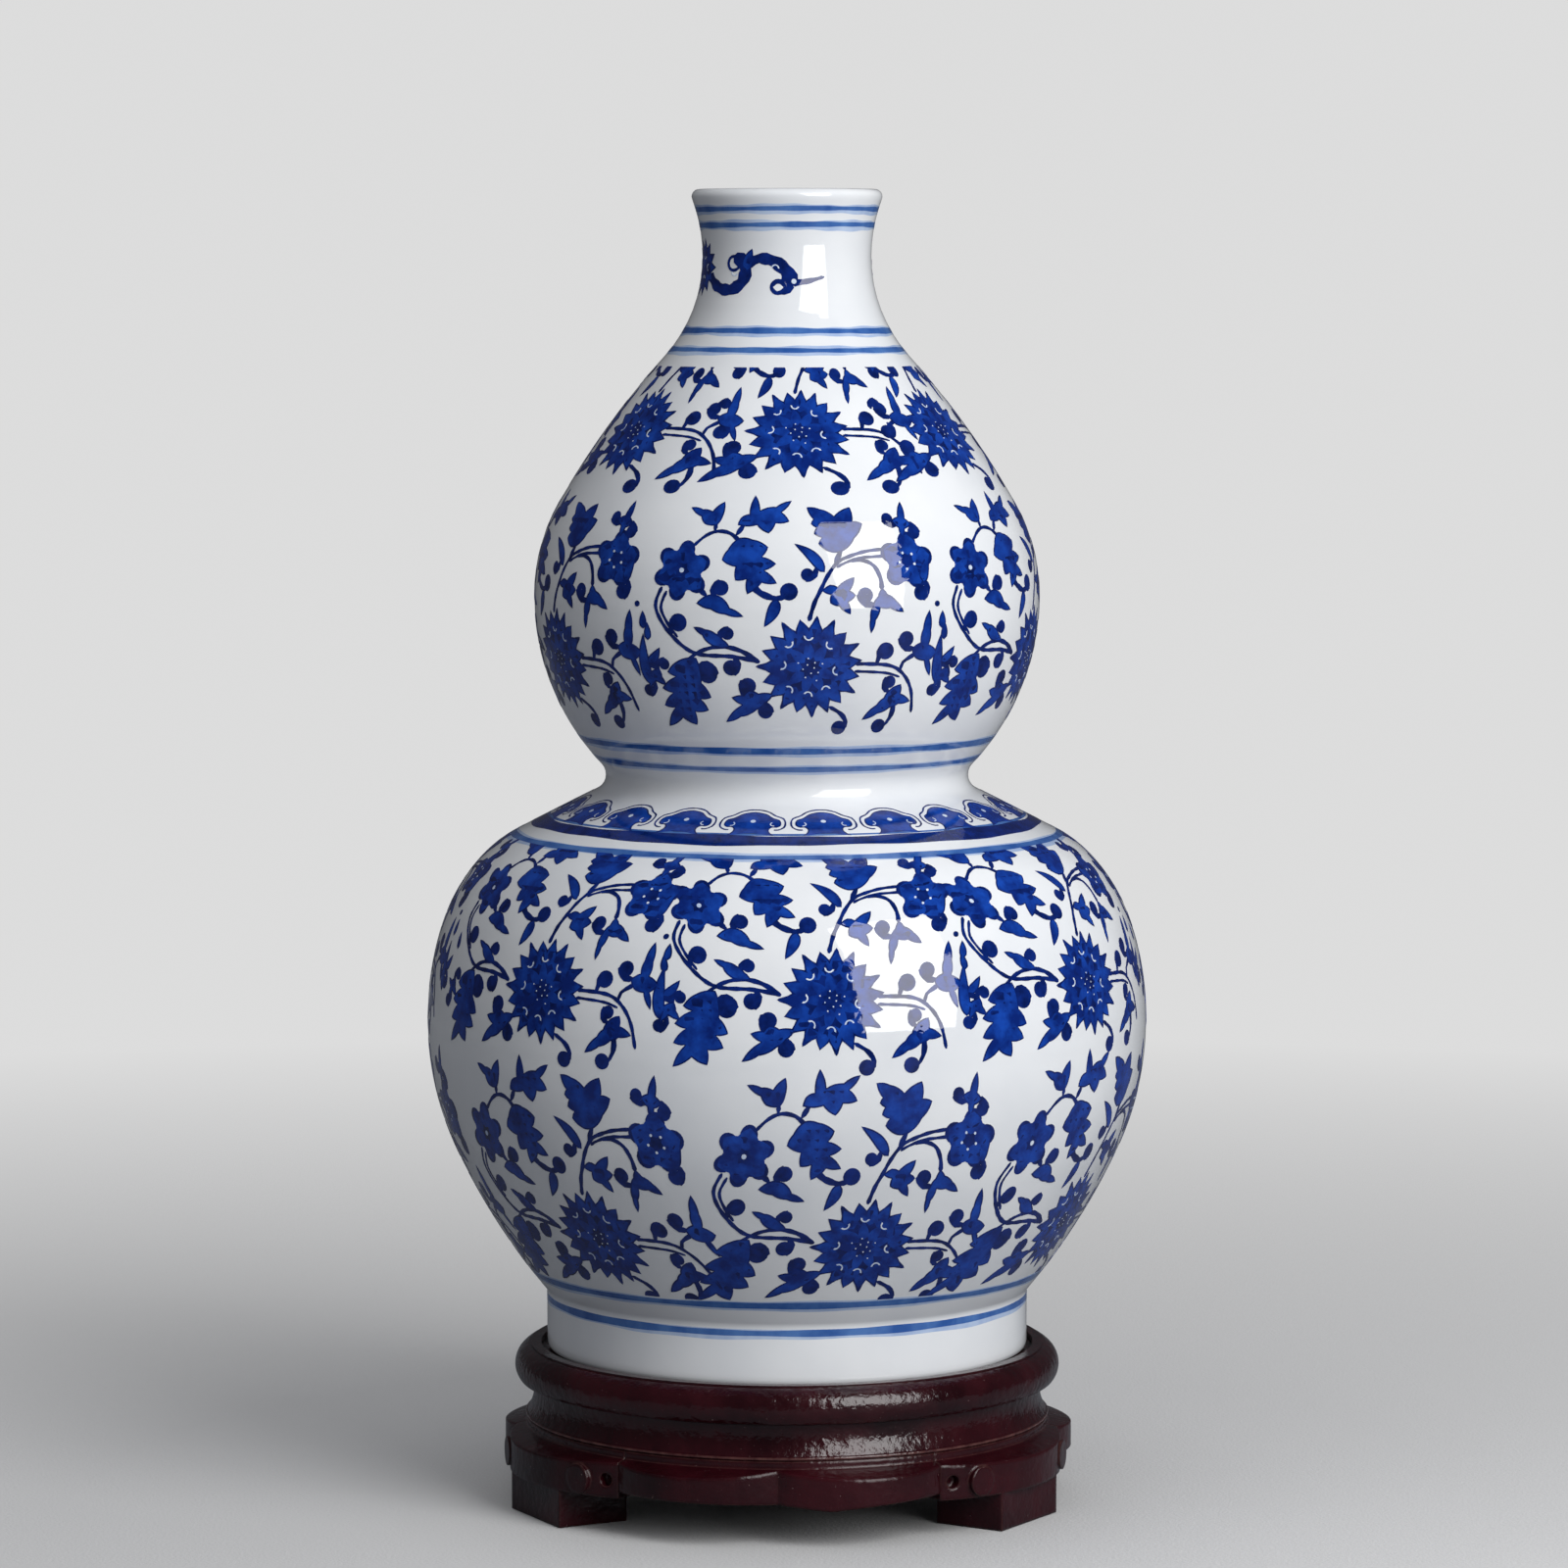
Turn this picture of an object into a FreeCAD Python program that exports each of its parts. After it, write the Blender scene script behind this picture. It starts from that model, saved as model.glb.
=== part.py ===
import FreeCAD, Part
import math
import os

import Sketcher

# A double gourd vase of glazed porcelain, standing loose in the seat of a carved wooden stand.
# Lengths are in millimetres and angles in degrees. The origin is on the vase's axis at the level
# of the soles of the three feet, with +Z up and the front towards -Y.

SIZES = {
    # Vase: each stretch of the outer wall is an arc that runs until the wall leans by the given
    # angle from the vertical. The upper bulb's widest circle lies a rise above the belly's.
    "foot_radius": 73.8,
    "foot_wall_height": 18.7,
    "belly_radius": 110.0,
    "belly_crown_bend": 95.0,
    "belly_crown_lean": 18.0,
    "belly_shoulder_bend": 55.0,
    "belly_shoulder_lean": 42.0,
    "belly_brow_bend": 40.0,
    "belly_brow_lean": 63.0,
    "belly_flank_bend": 93.4,
    "belly_flank_lean": 25.0,
    "belly_base_lean": 39.5,
    "bulb_radius": 77.0,
    "bulb_rise": 129.4,
    "bulb_crown_bend": 57.3,
    "bulb_crown_lean": 30.0,
    "bulb_shoulder_lean": 42.0,
    "bulb_flank_bend": 74.7,
    "waist_bend": 5.0,
    "throat_radius": 25.7,
    "throat_bend": 44.6,
    "lip_flare_bend": 49.0,
    "lip_flare_lean": 20.8,
    "vase_wall": 4.5,
    "foot_edge_bend": 2.5,
    "foot_ring_width": 6.0,
    "foot_recess_depth": 9.0,
    "foot_recess_slope": 1.5,
    "vase_floor": 7.0,
    "floor_corner_width": 12.0,
    # Stand: the heights of the pieces that lie on each other, from the table up to the seat.
    "apron_bottom_height": 11.3,
    "apron_height": 13.8,
    "waist_height": 10.6,
    "rim_height": 9.8,
    # Stand, seat and rim: each reach is measured outward from the seat's edge.
    "seat_depth": 2.0,
    "seat_play": 1.7,
    "panel_thickness": 4.0,
    "tongue_thickness": 3.0,
    "tongue_reach": 3.0,
    "tongue_play": 0.2,
    "ring_inner_inset": 9.5,
    "rim_top_width": 3.2,
    "rim_line_width": 0.9,
    "rim_line_depth": 0.5,
    "rim_nose_reach": 8.1,
    "rim_bottom_reach": 3.7,
    # Stand, waist ring with the bead at its foot.
    "waist_top_reach": 2.7,
    "waist_foot_reach": 4.3,
    "waist_cove_depth": 1.0,
    "bead_height": 1.4,
    "bead_bulge": 0.8,
    # Stand, apron and legs.
    "ledge_drop": 2.2,
    "ledge_slope": 13.5,
    "lobe_reach": 13.0,
    "middle_cusp_reach": 6.0,
    "flank_cusp_reach": 8.0,
    "leg_half_angle": 25.0,
    "arch_rise": 2.2,
    "arch_tip_offset": 16.0,
    "edge_round": 0.45,
    "first_leg_azimuth": -32.0,
    "leg_width": 33.0,
    "leg_depth": 22.5,
    "leg_face_reach": 10.5,
    "foot_overlap": 4.2,
    "curl_radius": 4.5,
    "curl_rise": 4.9,
    "curl_angle": 16.0,
    "curl_face_reach": 11.9,
    "curl_depth": 12.0,
    "eye_radius": 2.0,
    "eye_rise": 5.4,
    "eye_angle": 22.3,
    "eye_floor_reach": 6.5,
    # Stand, hidden joinery.
    "tenon_width": 10.0,
    "tenon_depth": 6.0,
    "tenon_height": 6.0,
    "glue_gap": 0.05,
    "key_length": 10.0,
    "key_width": 5.0,
    "key_thickness": 3.0,
    "dowel_radius": 2.0,
    "dowel_length": 8.0,
    "joint_circle_inset": 4.0,
    "ring_dowel_angle": 30.0,
    "apron_dowel_angle": 18.0,
    "batten_width": 14.0,
    "batten_thickness": 4.5,
    "batten_end_gap": 1.0,
    "batten_azimuth": -80.0,
    "carving_stock": 5.0,
    "overrun": 20.0,
    "match_tolerance": 0.001,
}

# The rim's nose, as shares of the rim's full height: its bend, its centre above the rim's
# underside, and how far the round goes on below the centre.
RIM_NOSE_SHARES = {"bend": 0.56, "centre": 0.432, "dip": 0.356}

# Where an edge is probed along its length.
EDGE_PROBE_SHARES = (0.2, 0.5, 0.8)

LEGS = 3
FULL_TURN = 360.0
SECTOR = FULL_TURN / LEGS

doc = FreeCAD.newDocument("double_gourd_vase")
sheet = doc.addObject("Spreadsheet::Sheet", "sizes")
sheet_rows = []


def cell(name, value):
    """Puts one size in the sheet under its name and gives the value back."""
    row = len(sheet_rows) + 1
    sheet.set(f"A{row}", name)
    sheet.set(f"B{row}", repr(float(value)))
    sheet.setAlias(f"B{row}", name)
    sheet_rows.append(name)
    return float(value)


for size_name, size_value in SIZES.items():
    cell(size_name, size_value)


def size(name):
    """A driving size by its name."""
    return SIZES[name]


def bind(feature, **links):
    """Binds properties of a feature to cells of the sheet."""
    for prop, alias in links.items():
        feature.setExpression(prop, f"sizes.{alias}")


def leaning(angle):
    """Sine and cosine of an angle in degrees."""
    return math.sin(math.radians(angle)), math.cos(math.radians(angle))


def polar(radius, angle):
    """A point in plan at a radius and an angle from +X."""
    across, along = leaning(angle)
    return radius * along, radius * across


def circle_through(start, top, end):
    """Radius of the circle through three points."""
    a = math.dist(start, top)
    b = math.dist(top, end)
    c = math.dist(start, end)
    cross = (top[0] - start[0]) * (end[1] - start[1]) - (top[1] - start[1]) * (end[0] - start[0])
    return a * b * c / (2.0 * abs(cross))


def bend_of(start, end, depth):
    """Radius of the arc between two points that stands off from their chord by a depth."""
    half = math.dist(start, end) / 2.0
    return (half * half + depth * depth) / (2.0 * depth)


def origin_plane(body, role):
    """One of a body's own origin planes."""
    for plane in body.Origin.OriginFeatures:
        if plane.Role == role:
            return plane
    raise ValueError(role)


def arc_between(start, end, bend):
    """The arc from start to end: a positive bend curves to the left, a negative one to the right."""
    radius = abs(bend)
    side = 1.0 if bend > 0 else -1.0
    half = math.dist(start, end) / 2.0
    along = ((end[0] - start[0]) / (2.0 * half), (end[1] - start[1]) / (2.0 * half))
    reach = side * math.sqrt(max(radius * radius - half * half, 0.0))
    centre = ((start[0] + end[0]) / 2.0 - along[1] * reach, (start[1] + end[1]) / 2.0 + along[0] * reach)
    first, last = (start, end) if bend > 0 else (end, start)
    angles = [math.atan2(p[1] - centre[1], p[0] - centre[0]) for p in (first, last)]
    circle = Part.Circle(FreeCAD.Vector(centre[0], centre[1], 0), FreeCAD.Vector(0, 0, 1), radius)
    return Part.ArcOfCircle(circle, angles[0], angles[1])


def outline(body, name, role, path):
    """Draws a closed outline on one of the body's planes, tied to the sheet point by point.

    The path is a list of (label, across, up, bend). The bend belongs to the stretch that starts at
    the point: zero is a straight line, and any other value is the radius of an arc.
    """
    sketch = body.newObject("Sketcher::SketchObject", name)
    sketch.AttachmentSupport = (origin_plane(body, role), "")
    sketch.MapMode = "FlatFace"
    starts = []
    ends = []
    for index, (label, across, up, bend) in enumerate(path):
        start = (across, up)
        end = path[(index + 1) % len(path)][1:3]
        if bend:
            geometry = sketch.addGeometry(arc_between(start, end, bend), False)
            starts.append((geometry, 1 if bend > 0 else 2))
            ends.append((geometry, 2 if bend > 0 else 1))
            cell(f"{name}_{label}_bend", abs(bend))
            rule = sketch.addConstraint(Sketcher.Constraint("Radius", geometry, abs(bend)))
            sketch.setExpression(f"Constraints[{rule}]", f"sizes.{name}_{label}_bend")
        else:
            line = Part.LineSegment(FreeCAD.Vector(*start, 0), FreeCAD.Vector(*end, 0))
            geometry = sketch.addGeometry(line, False)
            starts.append((geometry, 1))
            ends.append((geometry, 2))
    for index in range(len(path)):
        after = starts[(index + 1) % len(path)]
        sketch.addConstraint(Sketcher.Constraint("Coincident", *ends[index], *after))
    for (label, across, up, bend), corner in zip(path, starts):
        for axis, kind, value, way in ((-2, "DistanceX", across, "across"), (-1, "DistanceY", up, "up")):
            if abs(value) < size("match_tolerance"):
                sketch.addConstraint(Sketcher.Constraint("PointOnObject", *corner, axis))
                continue
            cell(f"{name}_{label}_{way}", value)
            rule = sketch.addConstraint(Sketcher.Constraint(kind, -1, 1, *corner, value))
            sketch.setExpression(f"Constraints[{rule}]", f"sizes.{name}_{label}_{way}")
    return sketch


def new_body(name):
    body = doc.addObject("PartDesign::Body", name)
    body.Label = name
    return body


def turned(body, sketch, sweep):
    """Turns an outline about the upright axis, evenly to both sides of the body's XZ plane."""
    turn = body.newObject("PartDesign::Revolution", f"{body.Name}_turned")
    turn.Profile = sketch
    turn.ReferenceAxis = (sketch, ["V_Axis"])
    turn.Midplane = True
    bind(turn, Angle=sweep)
    return turn


def cut_through(body, sketch):
    """Cuts an outline away to both sides of its plane."""
    cut = body.newObject("PartDesign::Pocket", f"{sketch.Name}_cut")
    cut.Profile = sketch
    cut.Type = "ThroughAll"
    cut.Midplane = True
    return cut


def ledge_edges(shape):
    """Names of a carved piece's edges along the outer rim of its sloping ledge."""
    names = []
    for index, edge in enumerate(shape.Edges):
        places = [edge.valueAt(edge.FirstParameter + share * (edge.LastParameter - edge.FirstParameter))
                  for share in EDGE_PROBE_SHARES]
        radii = [math.hypot(place.x, place.y) for place in places]
        misses = [abs(place.z - ledge_at(radius)) for place, radius in zip(places, radii)]
        if max(misses) < size("match_tolerance") and min(radii) > waist_foot_radius + size("bead_bulge"):
            turns = [math.atan2(place.y, place.x) for place in places]
            if (max(turns) - min(turns)) * min(radii) > size("match_tolerance"):
                names.append(f"Edge{index + 1}")
    return names


def rounded_ledge(body, cut):
    """Rounds the worn outer edge of the ledge."""
    doc.recompute()
    edge_round = body.newObject("PartDesign::Fillet", f"{body.Name}_edge_round")
    edge_round.Base = (cut, ledge_edges(cut.Shape))
    bind(edge_round, Radius="edge_round")
    return edge_round


def put(feature, radius, angle, height, offset=(0.0, 0.0)):
    """Places a feature at a radius, angle and height, turned to face outward."""
    across, along = polar(radius, angle)
    shift = FreeCAD.Rotation(FreeCAD.Vector(0, 0, 1), angle).multVec(FreeCAD.Vector(*offset, 0))
    base = FreeCAD.Vector(across, along, height).add(shift)
    feature.Placement = FreeCAD.Placement(base, FreeCAD.Rotation(FreeCAD.Vector(0, 0, 1), angle))


def block(body, kind, name, lengths, radius, angle, height, play=0.0):
    """Adds or cuts a block: depth outward, width across and height, centred in plan on its place."""
    depth, width, tall = lengths
    shape = body.newObject(f"PartDesign::{kind}Box", f"{body.Name}_{name}")
    cell(f"{body.Name}_{name}_depth", depth + 2.0 * play)
    cell(f"{body.Name}_{name}_width", width + 2.0 * play)
    cell(f"{body.Name}_{name}_height", tall + 2.0 * play)
    bind(shape, Length=f"{body.Name}_{name}_depth", Width=f"{body.Name}_{name}_width",
         Height=f"{body.Name}_{name}_height")
    put(shape, radius, angle, height - play, (-depth / 2.0 - play, -width / 2.0 - play))
    return shape


def round_hole(body, name, radius, circle, angle, bottom, top):
    """Bores an upright hole between two heights."""
    hole = body.newObject("PartDesign::SubtractiveCylinder", f"{body.Name}_{name}")
    cell(f"{body.Name}_{name}_radius", radius)
    cell(f"{body.Name}_{name}_length", top - bottom)
    bind(hole, Radius=f"{body.Name}_{name}_radius", Height=f"{body.Name}_{name}_length")
    put(hole, circle, angle, bottom)
    return hole


# Vase: the outer wall is a chain of arcs, each tangent to the next, and the inner wall keeps the
# same distance from it.


def wall_point(radius, height, lean, inward):
    """A point of the wall's section at a depth inward, square to the wall where it leans."""
    rise, reach = leaning(lean)
    return radius - inward * reach, height - inward * rise


def bulb_chain(radius, height, arcs, way):
    """Ends of the arcs that run from a bulb's widest circle, up (way 1) or down (way -1)."""
    places = [(radius, height, 0.0)]
    lean = 0.0
    for bend, next_lean in arcs:
        rise, reach = leaning(lean)
        next_rise, next_reach = leaning(next_lean)
        radius -= bend * (reach - next_reach)
        height += way * bend * (next_rise - rise)
        places.append((radius, height, way * next_lean))
        lean = next_lean
    return places


def bend_between(radius, lean, end_radius, end_lean):
    """Bend of the arc that takes the wall from one radius and lean to another."""
    return (radius - end_radius) / (leaning(lean)[1] - leaning(end_lean)[1])


def belly_base():
    """Bends and leans of the arcs from the belly's widest circle down to the foot."""
    bend = size("belly_flank_bend")
    lean = size("belly_flank_lean")
    flank_radius = size("belly_radius") - bend * (1.0 - leaning(lean)[1])
    base_lean = size("belly_base_lean")
    return [(bend, lean), (bend_between(flank_radius, lean, size("foot_radius"), base_lean), base_lean)]


def throat_chain(bulb_height):
    """The neck above the upper bulb: its arcs' bends and the ends of throat and flared lip."""
    bend = size("bulb_crown_bend")
    lean = size("bulb_crown_lean")
    crown_radius = size("bulb_radius") - bend * (1.0 - leaning(lean)[1])
    end_lean = size("bulb_shoulder_lean")
    rise, reach = leaning(end_lean)
    end_radius = size("throat_radius") + size("throat_bend") * (1.0 - reach)
    shoulder_bend = bend_between(crown_radius, lean, end_radius, end_lean)
    arcs = [(bend, lean), (shoulder_bend, end_lean)]
    crown, shoulder = bulb_chain(size("bulb_radius"), bulb_height, arcs, 1)[1:]
    throat = (size("throat_radius"), shoulder[1] + size("throat_bend") * rise, 0.0)
    rise, reach = leaning(size("lip_flare_lean"))
    lip_radius = throat[0] + size("lip_flare_bend") * (1.0 - reach)
    lip = (lip_radius, throat[1] + size("lip_flare_bend") * rise, -size("lip_flare_lean"))
    return shoulder_bend, crown, shoulder, throat, lip


def waist_fillet(brow, bulb_height):
    """Ends of the small arc between the belly's sloping brow and the upper bulb's flank."""
    bend = size("waist_bend")
    rise, reach = leaning(size("belly_brow_lean"))
    flank_bend = size("bulb_flank_bend")
    middle = (size("bulb_radius") - flank_bend, bulb_height)
    # The fillet's centre lies on a line beside the brow, and at both radii from the flank's centre.
    base = (brow[0] + bend * reach, brow[1] + bend * rise)
    slope = (-rise, reach)
    start = (base[0] - middle[0], base[1] - middle[1])
    half = start[0] * slope[0] + start[1] * slope[1]
    rest = start[0] ** 2 + start[1] ** 2 - (flank_bend + bend) ** 2
    travel = -half - math.sqrt(half * half - rest)
    centre = (base[0] + travel * slope[0], base[1] + travel * slope[1])
    low = (centre[0] - bend * reach, centre[1] - bend * rise, size("belly_brow_lean"))
    lean = math.degrees(math.asin((centre[1] - middle[1]) / (flank_bend + bend)))
    high_rise, high_reach = leaning(lean)
    high = (middle[0] + flank_bend * high_reach, middle[1] + flank_bend * high_rise, lean)
    return low, high


def vase_section():
    """The vase's half section, from the middle of the underside round to the inner floor."""
    wall = size("vase_wall")
    base = belly_base()
    foot_drop = bulb_chain(size("belly_radius"), 0.0, base, -1)[-1][1]
    belly_height = size("foot_wall_height") - foot_drop
    bulb_height = belly_height + size("bulb_rise")
    down = bulb_chain(size("belly_radius"), belly_height, base, -1)
    up = bulb_chain(size("belly_radius"), belly_height,
                    [(size("belly_crown_bend"), size("belly_crown_lean")),
                     (size("belly_shoulder_bend"), size("belly_shoulder_lean")),
                     (size("belly_brow_bend"), size("belly_brow_lean"))], 1)
    low, high = waist_fillet(up[-1], bulb_height)
    shoulder_bend, crown, shoulder, throat, lip = throat_chain(bulb_height)
    bulb = (size("bulb_radius"), bulb_height, 0.0)
    # Every place of the wall from the foot up, with the bend of the stretch above it. A positive
    # bend swells outward and a negative one is hollow.
    stretches = [("foot", down[2], base[1][0]), ("flank", down[1], size("belly_flank_bend")),
                 ("belly", down[0], size("belly_crown_bend")), ("crown", up[1], size("belly_shoulder_bend")),
                 ("brow", up[2], size("belly_brow_bend")), ("slope", up[3], 0.0),
                 ("waist", low, -size("waist_bend")), ("cup", high, size("bulb_flank_bend")),
                 ("bulb", bulb, size("bulb_crown_bend")), ("shoulder", crown, shoulder_bend),
                 ("collar", shoulder, -size("throat_bend")), ("throat", throat, -size("lip_flare_bend"))]
    ring_radius = size("foot_radius") - size("foot_edge_bend")
    inner_ring = ring_radius - size("foot_ring_width")
    recess_radius = inner_ring - size("foot_recess_slope")
    recess = size("foot_recess_depth")
    floor = recess + size("vase_floor")
    path = [("under", 0.0, recess, 0.0), ("recess", recess_radius, recess, 0.0),
            ("ring_inner", inner_ring, 0.0, 0.0), ("ring_outer", ring_radius, 0.0, size("foot_edge_bend")),
            ("edge", size("foot_radius"), size("foot_edge_bend"), 0.0)]
    for label, (radius, height, lean), bend in stretches:
        path.append((label, radius, height, bend))
    path.append(("lip", lip[0], lip[1], wall / 2.0))
    inside = wall_point(*lip, wall)
    path.append(("lip_inner", *inside, size("lip_flare_bend") + wall))
    for index in range(len(stretches) - 1, 0, -1):
        label, place, bend = stretches[index]
        before = stretches[index - 1][2]
        inner_bend = wall - before if before else 0.0
        path.append((f"{label}_inner", *wall_point(*place, wall), inner_bend))
    inner_base = wall_point(*stretches[0][1], wall)
    path.append(("base_inner", *inner_base, 0.0))
    path.append(("corner", inner_base[0] - size("floor_corner_width"), floor, 0.0))
    path.append(("floor", 0.0, floor, 0.0))
    return path


vase = new_body("vase_body")
vase_sketch = outline(vase, "vase_section", "XZ_Plane", vase_section())
cell("full_turn", FULL_TURN)
turned(vase, vase_sketch, "full_turn")

# Stand: its levels add up from the soles of the feet, and its radii follow the vase's foot.

waist_bottom = size("apron_bottom_height") + size("apron_height")
rim_bottom = waist_bottom + size("waist_height")
seat_height = rim_bottom + size("rim_height")
rim_top = seat_height + size("seat_depth")
panel_bottom = seat_height - size("panel_thickness")
ledge_height = waist_bottom - size("ledge_drop")
foot_height = size("apron_bottom_height") + size("foot_overlap")
curl_height = size("apron_bottom_height") + size("curl_rise")
eye_height = size("apron_bottom_height") + size("eye_rise")
rim_key_height = (rim_bottom + panel_bottom) / 2.0
waist_key_height = (waist_bottom + rim_bottom) / 2.0
apron_key_height = (size("apron_bottom_height") + waist_bottom) / 2.0

seat_radius = size("foot_radius") + size("seat_play")
ring_inner_radius = seat_radius - size("ring_inner_inset")
joint_circle = seat_radius - size("joint_circle_inset")
waist_foot_radius = seat_radius + size("waist_foot_reach")
lobe_radius = seat_radius + size("lobe_reach")
tongue_radius = seat_radius + size("tongue_reach")
groove_radius = tongue_radius + size("tongue_play")
tongue_top = panel_bottom + size("tongue_thickness")

panel = new_body("seat_panel")
panel_path = [("under", 0.0, panel_bottom, 0.0), ("tongue_low", tongue_radius, panel_bottom, 0.0),
              ("tongue_high", tongue_radius, tongue_top - size("glue_gap"), 0.0),
              ("shoulder", seat_radius - size("tongue_play"), tongue_top - size("glue_gap"), 0.0),
              ("edge", seat_radius - size("tongue_play"), seat_height, 0.0),
              ("middle", 0.0, seat_height, 0.0)]
turned(panel, outline(panel, "panel_section", "XZ_Plane", panel_path), "full_turn")

batten = new_body("seat_batten")
batten_length = 2.0 * (ring_inner_radius - size("batten_end_gap"))
block(batten, "Additive", "bar", (batten_length, size("batten_width"), size("batten_thickness")),
      0.0, 0.0, panel_bottom - size("batten_thickness"))


def rim_section():
    """The rim's section: ledge and groove for the panel, top with a fine line, and rounded nose."""
    line_radius = seat_radius + size("rim_top_width")
    line_end = line_radius + size("rim_line_width")
    bend, centre_rise, dip = [share * (rim_top - rim_bottom) for share in RIM_NOSE_SHARES.values()]
    centre_radius = seat_radius + size("rim_nose_reach") - bend
    centre_height = rim_bottom + centre_rise
    low_radius = centre_radius + math.sqrt(bend ** 2 - dip ** 2)
    shoulder = centre_height + math.sqrt(bend ** 2 - (line_end - centre_radius) ** 2)
    return [("inner_low", ring_inner_radius, rim_bottom, 0.0),
            ("bottom", seat_radius + size("rim_bottom_reach"), rim_bottom, 0.0),
            ("nose_low", low_radius, centre_height - dip, bend),
            ("nose_high", line_end, shoulder, 0.0),
            ("line_floor", line_radius, rim_top - size("rim_line_depth"), 0.0),
            ("line_edge", line_radius, rim_top, 0.0),
            ("lip", seat_radius, rim_top, 0.0),
            ("lip_under", seat_radius, tongue_top, 0.0),
            ("groove_high", groove_radius, tongue_top, 0.0),
            ("groove_low", groove_radius, panel_bottom, 0.0),
            ("ledge", ring_inner_radius, panel_bottom, 0.0)]


def waist_section():
    """The waist ring's section: a long hollow above a half-round bead."""
    bead_low = (waist_foot_radius, waist_bottom)
    bead_high = (waist_foot_radius, waist_bottom + size("bead_height"))
    top = (seat_radius + size("waist_top_reach"), rim_bottom)
    return [("inner_low", ring_inner_radius, waist_bottom, 0.0),
            ("bead_low", *bead_low, bend_of(bead_low, bead_high, size("bead_bulge"))),
            ("bead_high", *bead_high, -bend_of(bead_high, top, size("waist_cove_depth"))),
            ("top", *top, 0.0),
            ("inner_high", ring_inner_radius, rim_bottom, 0.0)]


def ledge_at(radius):
    """Height of the sloping ledge round the waist's foot."""
    rise, reach = leaning(size("ledge_slope"))
    return ledge_height - (radius - waist_foot_radius) * rise / reach


def skirt_section(bottom):
    """The section that apron and legs are carved from, before their edge is lobed."""
    outer = lobe_radius + size("carving_stock")
    neck = waist_foot_radius + size("bead_bulge") / 2.0
    return [("inner_low", ring_inner_radius, bottom, 0.0),
            ("outer_low", outer, bottom, 0.0),
            ("outer_high", outer, ledge_at(outer), 0.0),
            ("neck_low", neck, ledge_at(neck), 0.0),
            ("neck_high", neck, waist_bottom, 0.0),
            ("inner_high", ring_inner_radius, waist_bottom, 0.0)]


def lobed_edge(corners):
    """Plan outline of what is cut away outside a run of lobes.

    The corners are (label, radius, angle) of the inward cusps, in order.
    """
    outside = lobe_radius + size("overrun")
    path = [("far_first", *polar(outside, corners[0][2]), 0.0)]
    for (label, radius, angle), (_, next_radius, next_angle) in zip(corners, corners[1:]):
        start = polar(radius, angle)
        end = polar(next_radius, next_angle)
        top = polar(lobe_radius, (angle + next_angle) / 2.0)
        path.append((label, *start, circle_through(start, top, end)))
    last_label, last_radius, last_angle = corners[-1]
    path.append((last_label, *polar(last_radius, last_angle), 0.0))
    reach = outside / math.cos(math.radians(last_angle - corners[0][2]) / 4.0)
    path.append(("far_last", *polar(outside, last_angle), 0.0))
    path.append(("far_middle", *polar(reach, (last_angle + corners[0][2]) / 2.0), 0.0))
    return path


cell("sector_sweep", SECTOR)
leg_sweep = cell("leg_sweep", 2.0 * size("leg_half_angle"))
apron_sweep = cell("apron_sweep", SECTOR - leg_sweep)
ring_key = (size("key_width"), size("key_length"), size("key_thickness"))
bore = size("dowel_radius") + size("glue_gap")
half_dowel = size("dowel_length") / 2.0
pieces = {"vase_body": vase, "seat_panel": panel, "seat_batten": batten}


def key_slots(body, name, half_sweep, height):
    """Cuts half a key's slot into each end of a ring segment."""
    for label, side in (("left", 1.0), ("right", -1.0)):
        block(body, "Subtractive", f"{name}_{label}", ring_key, joint_circle,
              side * half_sweep, height - size("key_thickness") / 2.0, size("glue_gap"))


def dowel_holes(body, name, angle, bottom, top):
    """Bores a pair of dowel holes to both sides of a segment's middle."""
    for label, side in (("left", 1.0), ("right", -1.0)):
        round_hole(body, f"{name}_{label}", bore, joint_circle, side * angle, bottom, top)


def build_rim(name):
    body = new_body(name)
    turned(body, outline(body, f"{name}_section", "XZ_Plane", rim_section()), "sector_sweep")
    key_slots(body, "slot", SECTOR / 2.0, rim_key_height)
    dowel_holes(body, "hole", size("ring_dowel_angle"), rim_bottom - size("overrun"),
                rim_bottom + half_dowel + size("glue_gap"))
    return body


def build_waist(name):
    body = new_body(name)
    turned(body, outline(body, f"{name}_section", "XZ_Plane", waist_section()), "sector_sweep")
    key_slots(body, "slot", SECTOR / 2.0, waist_key_height)
    dowel_holes(body, "hole", size("ring_dowel_angle"), rim_bottom - half_dowel - size("glue_gap"),
                rim_bottom + size("overrun"))
    apron_side = SECTOR / 2.0 - size("apron_dowel_angle")
    dowel_holes(body, "foot_hole", apron_side, waist_bottom - size("overrun"),
                waist_bottom + half_dowel + size("glue_gap"))
    tenon = (size("tenon_depth"), size("tenon_width"), size("tenon_height"))
    block(body, "Subtractive", "mortise", tenon, joint_circle, 0.0, waist_bottom, size("glue_gap"))
    return body


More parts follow.
